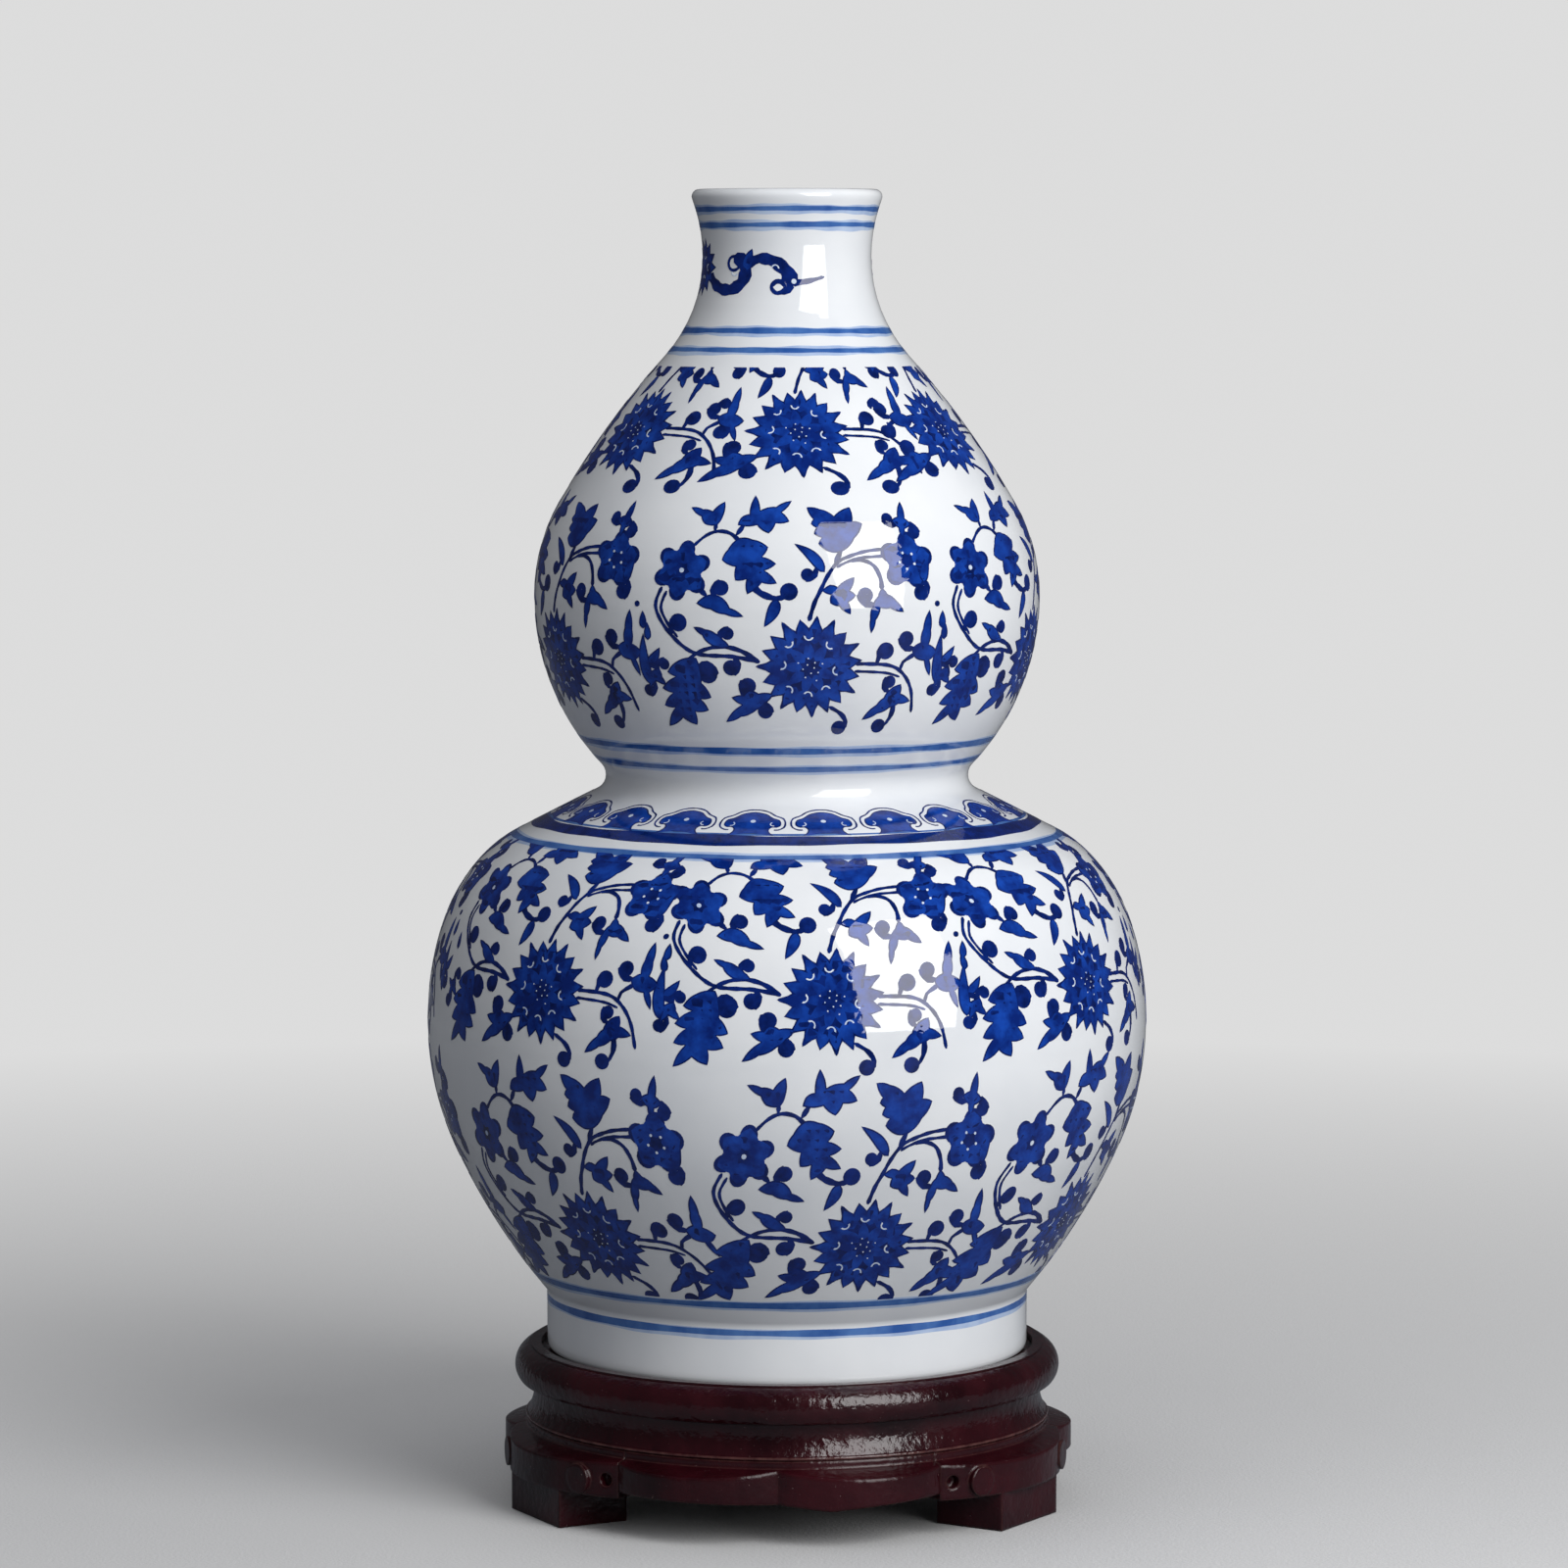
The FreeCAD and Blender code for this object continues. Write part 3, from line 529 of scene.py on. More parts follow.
def fill(shape):
    """Triangles of a closed shape, with inner points so that they can follow a curved wall."""
    clean = []
    for point in shape:
        if not clean or math.dist(point, clean[-1]) > NEAREST:
            clean.append(point)
    if len(clean) > 2 and math.dist(clean[0], clean[-1]) < NEAREST:
        clean.pop()
    if len(clean) < 3:
        return [], []
    border = len(clean)
    points = [Vector(point) for point in clean]
    xs = [p[0] for p in clean]
    ys = [p[1] for p in clean]
    across = int((max(xs) - min(xs)) / FILL_GRID) + 1
    upward = int((max(ys) - min(ys)) / FILL_GRID) + 1
    for i in range(across):
        for j in range(upward):
            spot = (min(xs) + (i + 0.5) * FILL_GRID, min(ys) + (j + 0.5) * FILL_GRID)
            if inside(spot, clean) and min(math.dist(spot, c) for c in clean) > FILL_GRID * CLEAR_SHARE:
                points.append(Vector(spot))
    edges = [(i, (i + 1) % border) for i in range(border)]
    made = geometry.delaunay_2d_cdt(points, edges, [], 0, SAME_SPOT)
    corners = [tuple(v) for v in made[0]]
    triangles = []
    for face in made[2]:
        a, b, c = (corners[k] for k in face)
        middle = ((a[0] + b[0] + c[0]) / 3.0, (a[1] + b[1] + c[1]) / 3.0)
        if inside(middle, clean):
            turned = (b[0] - a[0]) * (c[1] - a[1]) - (b[1] - a[1]) * (c[0] - a[0])
            if abs(turned) > TINY:
                triangles.append(tuple(face) if turned > 0.0 else tuple(reversed(face)))
    return corners, triangles


WASH, LINE, FLECK, RING, HALO = 0, 1, 2, 3, 4
PAINTS = [wash_blue, deep_blue, fleck_white, ring_blue, halo_blue]
DEPTHS = {WASH: WASH_DEPTH, LINE: LINE_DEPTH, FLECK: FLECK_DEPTH, RING: WASH_DEPTH, HALO: HALO_DEPTH}


def patch(kind, shape):
    return (kind, [tuple(point) for point in shape])


# Full width of a stem, and how a brush line swells along its way and thins at its tips
STEM = 1.3
SWELL_SHARE = 0.14
SWELL_PACE = 1.7
TIP_SHARE = 0.45


def strip(points, start_width, end_width, blunt=False):
    """A brush line as a closed shape round a smooth path, with its width changing evenly."""
    path = curve(points)
    left = []
    right = []
    count = len(path) - 1
    for index, (x, y) in enumerate(path):
        before = path[max(index - 1, 0)]
        after = path[min(index + 1, count)]
        run = math.dist(before, after) or 1.0
        across = (-(after[1] - before[1]) / run, (after[0] - before[0]) / run)
        share = index / count
        half = (start_width + (end_width - start_width) * share) / 2.0
        half *= 1.0 + SWELL_SHARE * math.sin(index * SWELL_PACE)
        if not blunt and (index == 0 or index == count):
            half *= TIP_SHARE
        left.append((x + across[0] * half, y + across[1] * half))
        right.append((x - across[0] * half, y - across[1] * half))
    return patch(LINE, right + left[::-1])


def dense(points, step):
    """A closed outline with sharp corners, filled in between with extra points."""
    result = []
    for a, b in zip(points, points[1:] + points[:1]):
        spans = max(1, int(math.dist(a, b) / step))
        for i in range(spans):
            result.append((a[0] + (b[0] - a[0]) * i / spans, a[1] + (b[1] - a[1]) * i / spans))
    return result


def signed_area(shape):
    return sum(a[0] * b[1] - b[0] * a[1] for a, b in zip(shape, shape[1:] + shape[:1])) / 2.0


def toothed(points, bulge=0.16, step=0.8):
    """A leaf outline with sharp tips and notches, each stretch between them bowed outwards."""
    way = bulge if signed_area(points) > 0.0 else -bulge
    result = []
    for a, b in zip(points, points[1:] + points[:1]):
        bend = ((a[0] + b[0]) / 2.0 + (b[1] - a[1]) * way, (a[1] + b[1]) / 2.0 + (a[0] - b[0]) * way)
        spans = max(2, int(math.dist(a, b) / step))
        for i in range(spans):
            t = i / spans
            result.append(tuple((1 - t) ** 2 * p + 2 * t * (1 - t) * q + t * t * r
                                for p, q, r in zip(a, bend, b)))
    return result


def leaf(base, tip, width, bend=0.0, round_base=0.35):
    """A pointed leaf from base to tip, widest before its middle."""
    dx = tip[0] - base[0]
    dy = tip[1] - base[1]
    run = math.hypot(dx, dy)
    across = (-dy / run, dx / run)
    left = []
    right = []
    steps = max(6, int(run / 0.9))
    for index in range(steps + 1):
        t = index / steps
        swell = math.sin(math.pi * t ** 0.75) ** 0.8 if 0.0 < t < 1.0 else 0.0
        half = width / 2.0 * (swell + round_base * (1.0 - t) ** 3 * (1.0 - (1.0 - t) ** 8))
        lean = bend * math.sin(math.pi * t)
        x = base[0] + dx * t + across[0] * lean
        y = base[1] + dy * t + across[1] * lean
        left.append((x + across[0] * half, y + across[1] * half))
        right.append((x - across[0] * half, y - across[1] * half))
    return right + left[::-1][1:-1]


def polar(radius, angle, centre=(0.0, 0.0)):
    return (centre[0] + radius * math.cos(angle), centre[1] + radius * math.sin(angle))


def disc(centre, radius, count=16):
    return [polar(radius, 2 * math.pi * i / count, centre) for i in range(count)]


def crescent(centre, size, turn):
    """A small white sickle of bare glaze, open on the side away from its turn."""
    half_sweep = 80
    steps = 8
    hollow = 0.62 * size
    hollow_centre = polar(0.12 * size, math.radians(turn), centre)
    sweep = [turn - half_sweep + 2 * half_sweep * index / steps for index in range(steps + 1)]
    points = [polar(size, math.radians(angle), centre) for angle in sweep]
    points += [polar(hollow, math.radians(angle), hollow_centre) for angle in sweep[::-1]]
    return patch(FLECK, points)


def ball(centre, radius, stalk=None):
    """A curled bud: a dark ball that its stalk runs into on one side, thickening like a comma."""
    made = [patch(LINE, disc(centre, radius))]
    if stalk:
        dx = centre[0] - stalk[0]
        dy = centre[1] - stalk[1]
        run = math.hypot(dx, dy)
        side = (-dy / run, dx / run)
        out = 0.22 * run + 0.45 * radius
        path = [stalk, (stalk[0] + 0.5 * dx + side[0] * out, stalk[1] + 0.5 * dy + side[1] * out),
                (centre[0] + side[0] * 0.62 * radius, centre[1] + side[1] * 0.62 * radius),
                (centre[0] + dx / run * 0.6 * radius, centre[1] + dy / run * 0.6 * radius)]
        made.append(strip(path, STEM, 1.4 * radius))
    return made


def wash_and_edge(shape, edge):
    """Deep blue shape with a lighter wash laid over its middle."""
    count = len(shape)
    small = []
    for index in range(count):
        x, y = shape[index]
        before = shape[index - 1]
        after = shape[(index + 1) % count]
        run = math.dist(before, after) or 1.0
        normal = ((after[1] - before[1]) / run, -(after[0] - before[0]) / run)
        small.append((x - normal[0] * edge, y - normal[1] * edge))
    if signed_area(shape) < 0.0:
        small = [(2.0 * x - u, 2.0 * y - v) for (x, y), (u, v) in zip(shape, small)]
    kept = [p for p in small if inside(p, shape) and min(math.dist(p, q) for q in shape) > edge * 0.8]
    made = [patch(LINE, shape)]
    if len(kept) > 5:
        made.append(patch(WASH, kept))
    return made


# The lotus scroll's unit: the lotus is its origin, x runs right and y up


def lotus():
    """A dark flower with pointed petals, an inner wreath, white sickles and a dotted heart."""
    made = []
    points = []
    petals = 19
    first_tip = 0.14
    inner_petals = 9
    first_inner_tip = 0.3
    for index in range(petals):
        tip = 2 * math.pi * index / petals + first_tip
        long = 15.5 + 0.7 * math.sin(index * 2.3)
        for offset, radius in ((-0.5, 12.0), (-0.28, 13.2), (-0.1, long - 0.7), (0.0, long),
                               (0.1, long - 0.7), (0.28, 13.2)):
            angle = tip + offset * 2 * math.pi / petals
            points.append(polar(radius, angle))
    made.append(patch(LINE, points))
    for index in range(petals):
        tip = 2 * math.pi * index / petals + first_tip
        made.append(patch(WASH, leaf(polar(7.2, tip), polar(14.3, tip), 3.5)))
    for index in range(inner_petals):
        tip = 2 * math.pi * index / inner_petals + first_inner_tip
        made.append(patch(WASH, leaf(polar(2.4, tip), polar(8.4, tip), 2.9)))
    for x, y in ((-0.7, 9.7), (-6.6, 7.5), (5.7, 7.0), (-8.6, 0.9), (7.9, -0.9), (-6.6, -7.0),
                 (-0.7, -8.8), (4.8, -7.0)):
        made.append(crescent((x, y), 1.5, math.degrees(math.atan2(y, x)) + 180.0 + 25.0 * math.sin(x)))
    for index in range(11):
        spot = polar(1.0 + 0.33 * index, index * 2.4)
        made.append(patch(FLECK, disc(spot, 0.24, 6)))
    return made


def blossom(centre, radius, petals, turn, dots):
    """A small open flower with round petals and white dots at its heart."""
    made = []
    points = []
    spots = petals * 10
    for index in range(spots):
        angle = 2 * math.pi * index / spots
        lobe = abs(math.cos(petals * (angle - turn) / 2.0)) ** 0.62
        reach = radius * (0.47 + 0.57 * lobe)
        points.append(polar(reach, angle, centre))
    made.append(patch(LINE, points))
    for index in range(petals):
        angle = turn + 2 * math.pi * index / petals
        base = polar(radius * 0.2, angle, centre)
        end = polar(radius * 0.93, angle, centre)
        width = radius * 1.5 * math.sin(math.pi / petals)
        made.append(patch(WASH, leaf(base, end, width, 0.0, 0.1)))
    if dots:
        for index in range(dots):
            angle = turn + 2 * math.pi * (index + 0.5) / dots
            made.append(patch(FLECK, disc(polar(radius * 0.3, angle, centre), 0.42, 8)))
    else:
        made.append(patch(FLECK, disc(centre, 0.75, 8)))
    return made


LEAF_EDGE = 0.45


def stem(points, first, last):
    """A stem that is as wide at its ends as these shares of a full stem."""
    return [strip(points, STEM * first, STEM * last)]


def washed(shape):
    return wash_and_edge(shape, LEAF_EDGE)


def above_lotus():
    """The stems above the lotus, their leaves and the five-petalled blossom."""
    made = []
    # Stems above the lotus, with their forks.
    made += stem([(-0.7, 14.0), (0.9, 19.3), (2.6, 22.8), (4.8, 27.2), (7.9, 31.2), (11.4, 32.9),
                  (16.7, 34.4), (23.7, 35.1)], 1.0, 0.75)
    made += stem([(7.6, 29.6), (9.2, 30.6), (14.0, 32.3), (18.4, 32.7), (24.6, 33.0)], 0.6, 0.75)
    made += stem([(11.4, 31.6), (15.8, 31.6), (18.9, 29.9), (20.6, 26.3), (20.9, 22.8)], 0.7, 1.1)
    # Three-lobed leaf above the fork.
    base = (9.7, 34.5)
    tips = [(-10.4, 13.9), (-6.2, 13.3), (-1.9, 11.0), (3.5, 13.9), (3.9, 9.3), (6.9, 8.5),
            (3.9, 3.9), (0.0, 0.0), (-3.5, -0.4), (-7.3, 2.3), (-6.2, 4.2), (-8.5, 5.4), (-7.7, 7.3),
            (-9.3, 8.5), (-8.5, 10.0)]
    made += washed(toothed([(base[0] + x, base[1] + y) for x, y in tips]))
    made += stem([(7.0, 31.0), (9.2, 34.6)], 0.9, 1.4)
    # Bud leaf left of the fork.
    made += washed(leaf((4.0, 28.3), (-4.8, 36.9), 3.2, -0.9))
    made += ball((-1.1, 27.6), 1.9, (1.4, 29.6))
    # Two-tipped leaf right of the stem.
    made += washed(toothed([(3.1, 22.8), (5.4, 24.6), (7.6, 24.0), (12.7, 26.8), (11.3, 22.8),
                            (13.0, 21.4), (10.8, 19.4), (11.4, 15.8), (8.0, 18.2), (5.4, 19.2),
                            (5.6, 21.6)]))
    # Trefoil at the branch's end.
    made += washed(toothed([(20.9, 23.4), (22.6, 21.6), (25.4, 19.6), (27.7, 16.2), (23.4, 17.4),
                            (20.4, 17.6), (19.0, 14.0), (17.6, 10.1), (17.2, 14.4), (17.9, 18.2),
                            (19.6, 21.0)]))
    made += ball((15.8, 21.4), 2.3, (18.8, 18.8))
    # Five-petalled blossom and its sprigs.
    made += blossom((29.6, 31.4), 8.6, 5, 1.45, 5)
    made += ball((33.4, 21.8), 2.3, (34.6, 25.6))
    made += washed(leaf((34.4, 24.6), (37.2, 33.0), 3.0, 0.5))
    made += washed(toothed([(29.2, 37.8), (30.6, 41.0), (33.0, 42.4), (31.4, 44.4), (31.2, 50.0),
                            (28.8, 45.0), (26.4, 43.8), (28.4, 41.4)]))
    made += ball((25.1, 44.4), 1.9, (28.6, 43.2))
    made += ball((33.4, 39.9), 2.1, (30.4, 42.2))
    return made


def left_of_lotus():
    """The six-petalled blossom, its double stem and the leaves round them."""
    made = []
    # Six-petalled blossom and its double stem.
    made += blossom((-38.4, 28.6), 8.8, 6, 0.35, 0)
    made += stem([(-44.4, 23.6), (-46.4, 18.0), (-43.5, 11.9), (-37.8, 6.1), (-32.5, 3.8),
                  (-22.8, 3.3), (-14.9, 1.8)], 0.8, 1.0)
    made += stem([(-42.8, 22.4), (-44.6, 17.6), (-42.6, 13.0), (-39.4, 8.8)], 0.7, 0.7)
    made += stem([(-36.9, 1.8), (-32.5, 4.8), (-26.3, 6.3), (-20.2, 5.0), (-15.0, 1.6)], 0.8, 1.2)
    made += ball((-39.1, 13.2), 2.7)
    made += stem([(-39.9, 14.6), (-41.4, 12.2), (-41.3, 9.6)], 1.9, 1.1)
    # Sprig on the double stem.
    made += washed(toothed([(-34.4, 12.0), (-30.8, 11.4), (-27.6, 10.2), (-25.4, 8.4), (-23.6, 6.2),
                            (-27.2, 6.0), (-30.0, 7.2), (-31.8, 9.6)]))
    made += ball((-24.2, 10.2), 1.9, (-26.4, 8.2))
    made += ball((-23.5, -0.1), 2.4, (-22.6, 3.2))
    # Arc over the six-petalled blossom, with bud leaf and spiky leaf.
    made += stem([(-35.6, 35.8), (-31.8, 39.2), (-28.1, 40.6), (-24.1, 39.9), (-20.6, 37.0)], 0.7, 1.0)
    made += washed(toothed([(-38.4, 48.2), (-34.2, 47.6), (-30.9, 47.0), (-27.2, 50.2), (-27.2, 45.4),
                            (-28.8, 42.4), (-32.8, 42.8), (-34.4, 45.2)]))
    made += stem([(-29.2, 40.6), (-29.0, 43.2)], 0.8, 1.2)
    made += washed(toothed([(-17.3, 52.4), (-15.4, 47.4), (-10.4, 48.6), (-5.4, 50.6), (-8.6, 46.8),
                            (-6.2, 43.8), (-10.4, 43.2), (-12.5, 40.0), (-16.2, 42.6), (-22.2, 42.6),
                            (-21.2, 45.2), (-18.8, 46.2)]))
    made += stem([(-22.4, 39.4), (-20.2, 42.6)], 0.8, 1.5)
    # Serrated leaf running down right, with curl and small leaf.
    made += washed(toothed([(-24.6, 35.0), (-21.4, 38.6), (-17.4, 38.2), (-12.5, 35.8), (-14.2, 32.9),
                            (-10.1, 30.8), (-13.4, 28.8), (-9.8, 25.0), (-14.2, 25.2), (-18.4, 21.8),
                            (-18.7, 26.2), (-21.9, 25.8), (-22.0, 29.8), (-26.2, 31.8)]))
    made += stem([(-17.2, 24.8), (-14.6, 22.2), (-10.1, 20.6), (-6.6, 21.6)], 1.8, 1.0)
    made += ball((-6.4, 22.6), 2.6)
    made += washed(leaf((-9.6, 20.4), (-13.5, 12.2), 3.4, 0.4))
    # Sprig under the six-petalled blossom.
    made += stem([(-33.4, 24.0), (-30.4, 21.2)], 0.9, 1.6)
    made += washed(toothed([(-33.4, 19.0), (-29.6, 21.6), (-26.0, 21.0), (-23.4, 17.8), (-19.4, 15.2),
                            (-24.8, 15.8), (-29.0, 17.2)]))
    made += ball((-26.1, 23.6), 2.3, (-27.6, 20.4))
    # Long serrated leaf hanging from the stem.
    made += washed(toothed([(-34.0, 2.8), (-39.4, 2.0), (-43.8, -1.8), (-41.2, -3.2), (-46.4, -7.0),
                            (-43.0, -8.4), (-46.8, -12.6), (-43.2, -13.2), (-47.0, -19.6),
                            (-41.2, -16.6), (-36.6, -18.8), (-36.4, -14.4), (-31.8, -13.8),
                            (-33.9, -10.2), (-30.4, -9.6), (-33.0, -5.0)]))
    made += ball((-30.8, -2.0), 3.1, (-33.6, 0.4))
    made += stem([(-36.9, 1.8), (-35.0, 0.6)], 0.8, 1.4)
    # Trefoil under the lotus on the left.
    made += washed(toothed([(-26.6, -17.6), (-21.6, -15.8), (-16.4, -13.4), (-13.6, -11.2),
                            (-11.0, -8.2), (-15.6, -8.0), (-18.4, -7.0), (-20.2, -8.6), (-24.0, -9.4),
                            (-21.0, -11.8)]))
    made += ball((-18.7, -5.6), 2.5, (-18.0, -9.4))
    made += ball((-13.7, -13.9), 2.4, (-16.2, -11.6))
    return made


def right_of_lotus():
    """The lotus's tail, the double stem on the right and its leaves."""
    made = []
    # Tail of the lotus.
    made += stem([(6.1, -12.3), (10.1, -14.8), (11.9, -17.6), (11.0, -20.2)], 0.8, 1.4)
    made += ball((9.8, -19.5), 2.4)
    # Double stem on the right.
    made += stem([(13.2, 1.1), (23.7, 0.4), (29.0, -2.6), (32.5, -7.9), (34.2, -15.0)], 0.9, 0.8)
    made += stem([(13.2, -1.2), (22.8, -1.9), (27.7, -3.3)], 0.7, 0.6)
    made += ball((22.4, 4.8), 2.6)
    made += stem([(20.6, 6.0), (20.4, 3.0), (19.6, 0.6)], 1.6, 0.9)
    # Trefoil above the double stem.
    made += stem([(27.7, -1.3), (28.3, 1.2), (32.0, 3.6)], 0.7, 1.1)
    made += washed(toothed([(36.3, 16.6), (34.2, 11.0), (33.6, 7.0), (30.8, 5.2), (32.2, 2.4),
                            (35.4, 1.4), (38.2, -3.4), (37.4, 1.6), (39.8, 4.0), (36.6, 6.4),
                            (37.0, 10.6)]))
    made += ball((28.8, 8.2), 2.4, (31.8, 5.4))
    # Sprig below the double stem.
    made += washed(toothed([(17.2, -17.0), (22.2, -15.0), (26.0, -13.2), (28.8, -12.0), (32.8, -11.2),
                            (29.0, -8.6), (28.6, -5.6), (25.2, -7.0), (23.4, -9.8), (21.4, -12.0)]))
    made += ball((24.6, -4.8), 2.0, (24.8, -8.0))
    made += stem([(25.4, -9.2), (27.2, -13.0), (26.8, -16.6), (25.2, -19.4)], 1.9, 0.8)
    made += ball((23.3, -19.2), 2.4)
    return made


def between_lotuses():
    """The small pieces on the seam between two lotuses."""
    made = []
    made += washed(leaf((41.2, -6.0), (40.8, 9.6), 3.6, 0.7))
    made += washed(leaf((41.6, 0.6), (46.2, 5.6), 2.8, -0.5))
    made += ball((43.8, -3.2), 1.9, (41.4, 0.4))
    made += washed(leaf((40.9, 11.0), (40.9, 16.4), 2.4))
    made.append(patch(LINE, disc((39.0, 18.4), 0.9, 10)))
    made += washed(toothed([(-52.0, -1.2), (-49.5, -1.8), (-46.5, -0.8), (-45.8, -3.4), (-44.8, -6.0),
                            (-48.2, -4.8), (-51.0, -7.0), (-50.2, -3.8)]))
    made += ball((-44.6, 0.6), 1.8, (-47.2, -2.0))
    made += ball((-51.2, -7.8), 1.9, (-49.4, -4.4))
    made += washed(leaf((-49.4, 7.6), (-49.4, 13.0), 2.3))
    return made


def unit(seam):
    """The repeat, with the small pieces between two lotuses where the row is wide enough."""
    made = above_lotus() + left_of_lotus() + right_of_lotus()
    if seam:
        made += between_lotuses()
    return made + lotus()


CHIP_FLOOR = GLAZE_DEPTH + 0.15 * MM


class Paint:
    """Gathers closed chips of paint on the wall into one mesh."""

    def __init__(self, name):
        self.name = name
        self.vertices = []
        self.faces = []
        self.kinds = []

    def chip(self, kind, corners, triangles, place, lift):
        if not triangles:
            return
        base = len(self.vertices)
        count = len(corners)
        for depth in (DEPTHS[kind] - lift, CHIP_FLOOR):
            self.vertices.extend(place(x, y, depth) for x, y in corners)
        seen = {}
        for a, b, c in triangles:
            self.faces.append((base + a, base + b, base + c))
            self.faces.append((base + count + c, base + count + b, base + count + a))
            self.kinds.extend((kind, kind))
            for edge in ((a, b), (b, c), (c, a)):
                seen[edge] = True
        for a, b in seen:
            if (b, a) not in seen:
                self.faces.append((base + b, base + a, base + count + a, base + count + b))
                self.kinds.append(kind)

    def finish(self):
        thing = add_mesh(self.name, self.vertices, self.faces, PAINTS, self.kinds, False)
        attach(thing, "vase")


def prepared(shapes, low=None, high=None, left=None, right=None):
    """Cuts the unit's shapes to a row's limits and fills them with triangles."""
    ready = []
    for kind, shape in shapes:
        xs = [p[0] for p in shape]
        if left is not None and (min(xs) < left or max(xs) > right):
            continue
        if high is not None:
            shape = cut_level(shape, high, 1)
        if low is not None and shape:
            shape = cut_level(shape, low, -1)
        if len(shape) < 3:
            continue
        corners, triangles = fill(shape)
        if not triangles:
            continue
        ready.append((kind, corners, triangles))
    return ready


# Each shape of a unit lies a little above the one before, and a wash lies over its shape's deep tone.
LIFT_STEP = 0.00012 * MM
WASH_LIFT = WASH_DEPTH - LINE_DEPTH + 0.012 * MM
WASH_LIFT_STEP = 0.00005 * MM


def paint_row(paint, ready, azimuths, s_centre, wide=1.0, tall=1.0, keep_width=0.0):
    """Lays the prepared unit at each azimuth, centred on an arc length up the wall.

    With keep_width 1 it is as wide at every level as drawn, and with 0 it widens where the wall does.
    """
    radius = at_length(s_centre)[0] / MM
    shift = math.degrees(1.0 / (radius * wide))
    for azimuth in azimuths:

        def place(x, y, depth, azimuth=azimuth):
            s = s_centre + y * tall * MM
            narrowed = (radius * MM / at_length(s)[0]) ** keep_width
            return on_wall(azimuth + x * shift * narrowed, s, depth)

        for order, (kind, corners, triangles) in enumerate(ready):
            lift = LIFT_STEP * order
            if kind == WASH:
                lift = WASH_LIFT + WASH_LIFT_STEP * order
            paint.chip(kind, corners, triangles, place, lift)


def spread(known, count):
    """Known azimuths of the units that show, then the rest evenly round the back."""
    rest = count - len(known)
    gap = (known[0] + 360.0 - known[-1]) / (rest + 1)
    return known + [known[-1] + gap * (index + 1) for index in range(rest)]


def paint_scroll(name, known, count, s_mm, tall=1.0, seam=False, low=None, high=None, left=None,
                 right=None, keep_width=0.0):
    """A row of the lotus scroll. Its limits low, high, left and right are the unit's own millimetres."""
    paint = Paint(name)
    ready = prepared(unit(seam), low, high, left, right)
    paint_row(paint, ready, spread(known, count), s_mm * MM, tall=tall, keep_width=keep_width)
    paint.finish()


paint_scroll("scroll_belly_upper", [-41.5, 7.0, 55.7], 7, 130.7, seam=True, high=47.1, keep_width=0.85)
paint_scroll("scroll_belly_lower", [-36.8, 14.0, 63.7], 7, 52.4, tall=1.12, low=-19.2, keep_width=1.0)
paint_scroll("scroll_bulb_lower", [-64.8, 5.3, 75.0], 5, 255.4, seam=True, low=-27.4)
paint_scroll("scroll_bulb_upper", [-55.7, 3.5, 57.7], 6, 329.6, high=24.0, left=-27.5, right=41.0)


# Painted rings

RING_STEPS = 300
STRIPS_ACROSS = 4
# How far a ring line wanders up and down, and how far the steadier lines by the cloud heads do
WANDER = 0.12
STEADY_WANDER = 0.05


def painted_ring(paint, s_mm, width, kind=RING, wander=WANDER):
    """A ring line drawn on the wheel, slightly uneven in width and height."""
    phase = rng.uniform(0.0, 6.0)
    corners = []
    for index in range(RING_STEPS + 1):
        angle = 2 * math.pi * index / RING_STEPS
        middle = s_mm + wander * math.sin(angle * 2 + phase)
        half = width / 2.0 * (1.0 + 0.16 * math.sin(angle * 5 + phase) + 0.08 * math.sin(angle * 17))
        for k in range(STRIPS_ACROSS + 1):
            corners.append((360.0 * index / RING_STEPS, middle + half * (2.0 * k / STRIPS_ACROSS - 1.0)))
    triangles = []
    for index in range(RING_STEPS):
        for k in range(STRIPS_ACROSS):
            a = (STRIPS_ACROSS + 1) * index + k
            b = a + STRIPS_ACROSS + 1
            triangles.append((a, b, b + 1))
            triangles.append((a, b + 1, a + 1))
    paint.chip(kind, corners, triangles, lambda x, y, depth: on_wall(x, y * MM, depth), 0.0)


# Arc length up the wall and width of each ring in millimetres, from the lip to the foot
RINGS = ((404.7, 1.4), (399.8, 1.5), (367.1, 1.8), (360.2, 1.8), (227.2, 2.1), (219.9, 1.9),
         (178.7, 2.5), (29.1, 2.4), (18.2, 2.0))
CLOUD_LINE = (187.6, 5.2)
CLOUD_LINE_EDGE = (190.9, 1.0)
# A ring's pale halo: how far below the ring it lies, and how much wider it is
HALO_DROP = 0.2
HALO_WIDENING = 1.5

rings = Paint("painted_rings")
for s_mm, width in RINGS:
    painted_ring(rings, s_mm - HALO_DROP, width + HALO_WIDENING, HALO)
    painted_ring(rings, s_mm, width)
painted_ring(rings, *CLOUD_LINE, LINE, STEADY_WANDER)
painted_ring(rings, *CLOUD_LINE_EDGE, RING, STEADY_WANDER)
rings.finish()


# Band of cloud heads on the shoulder


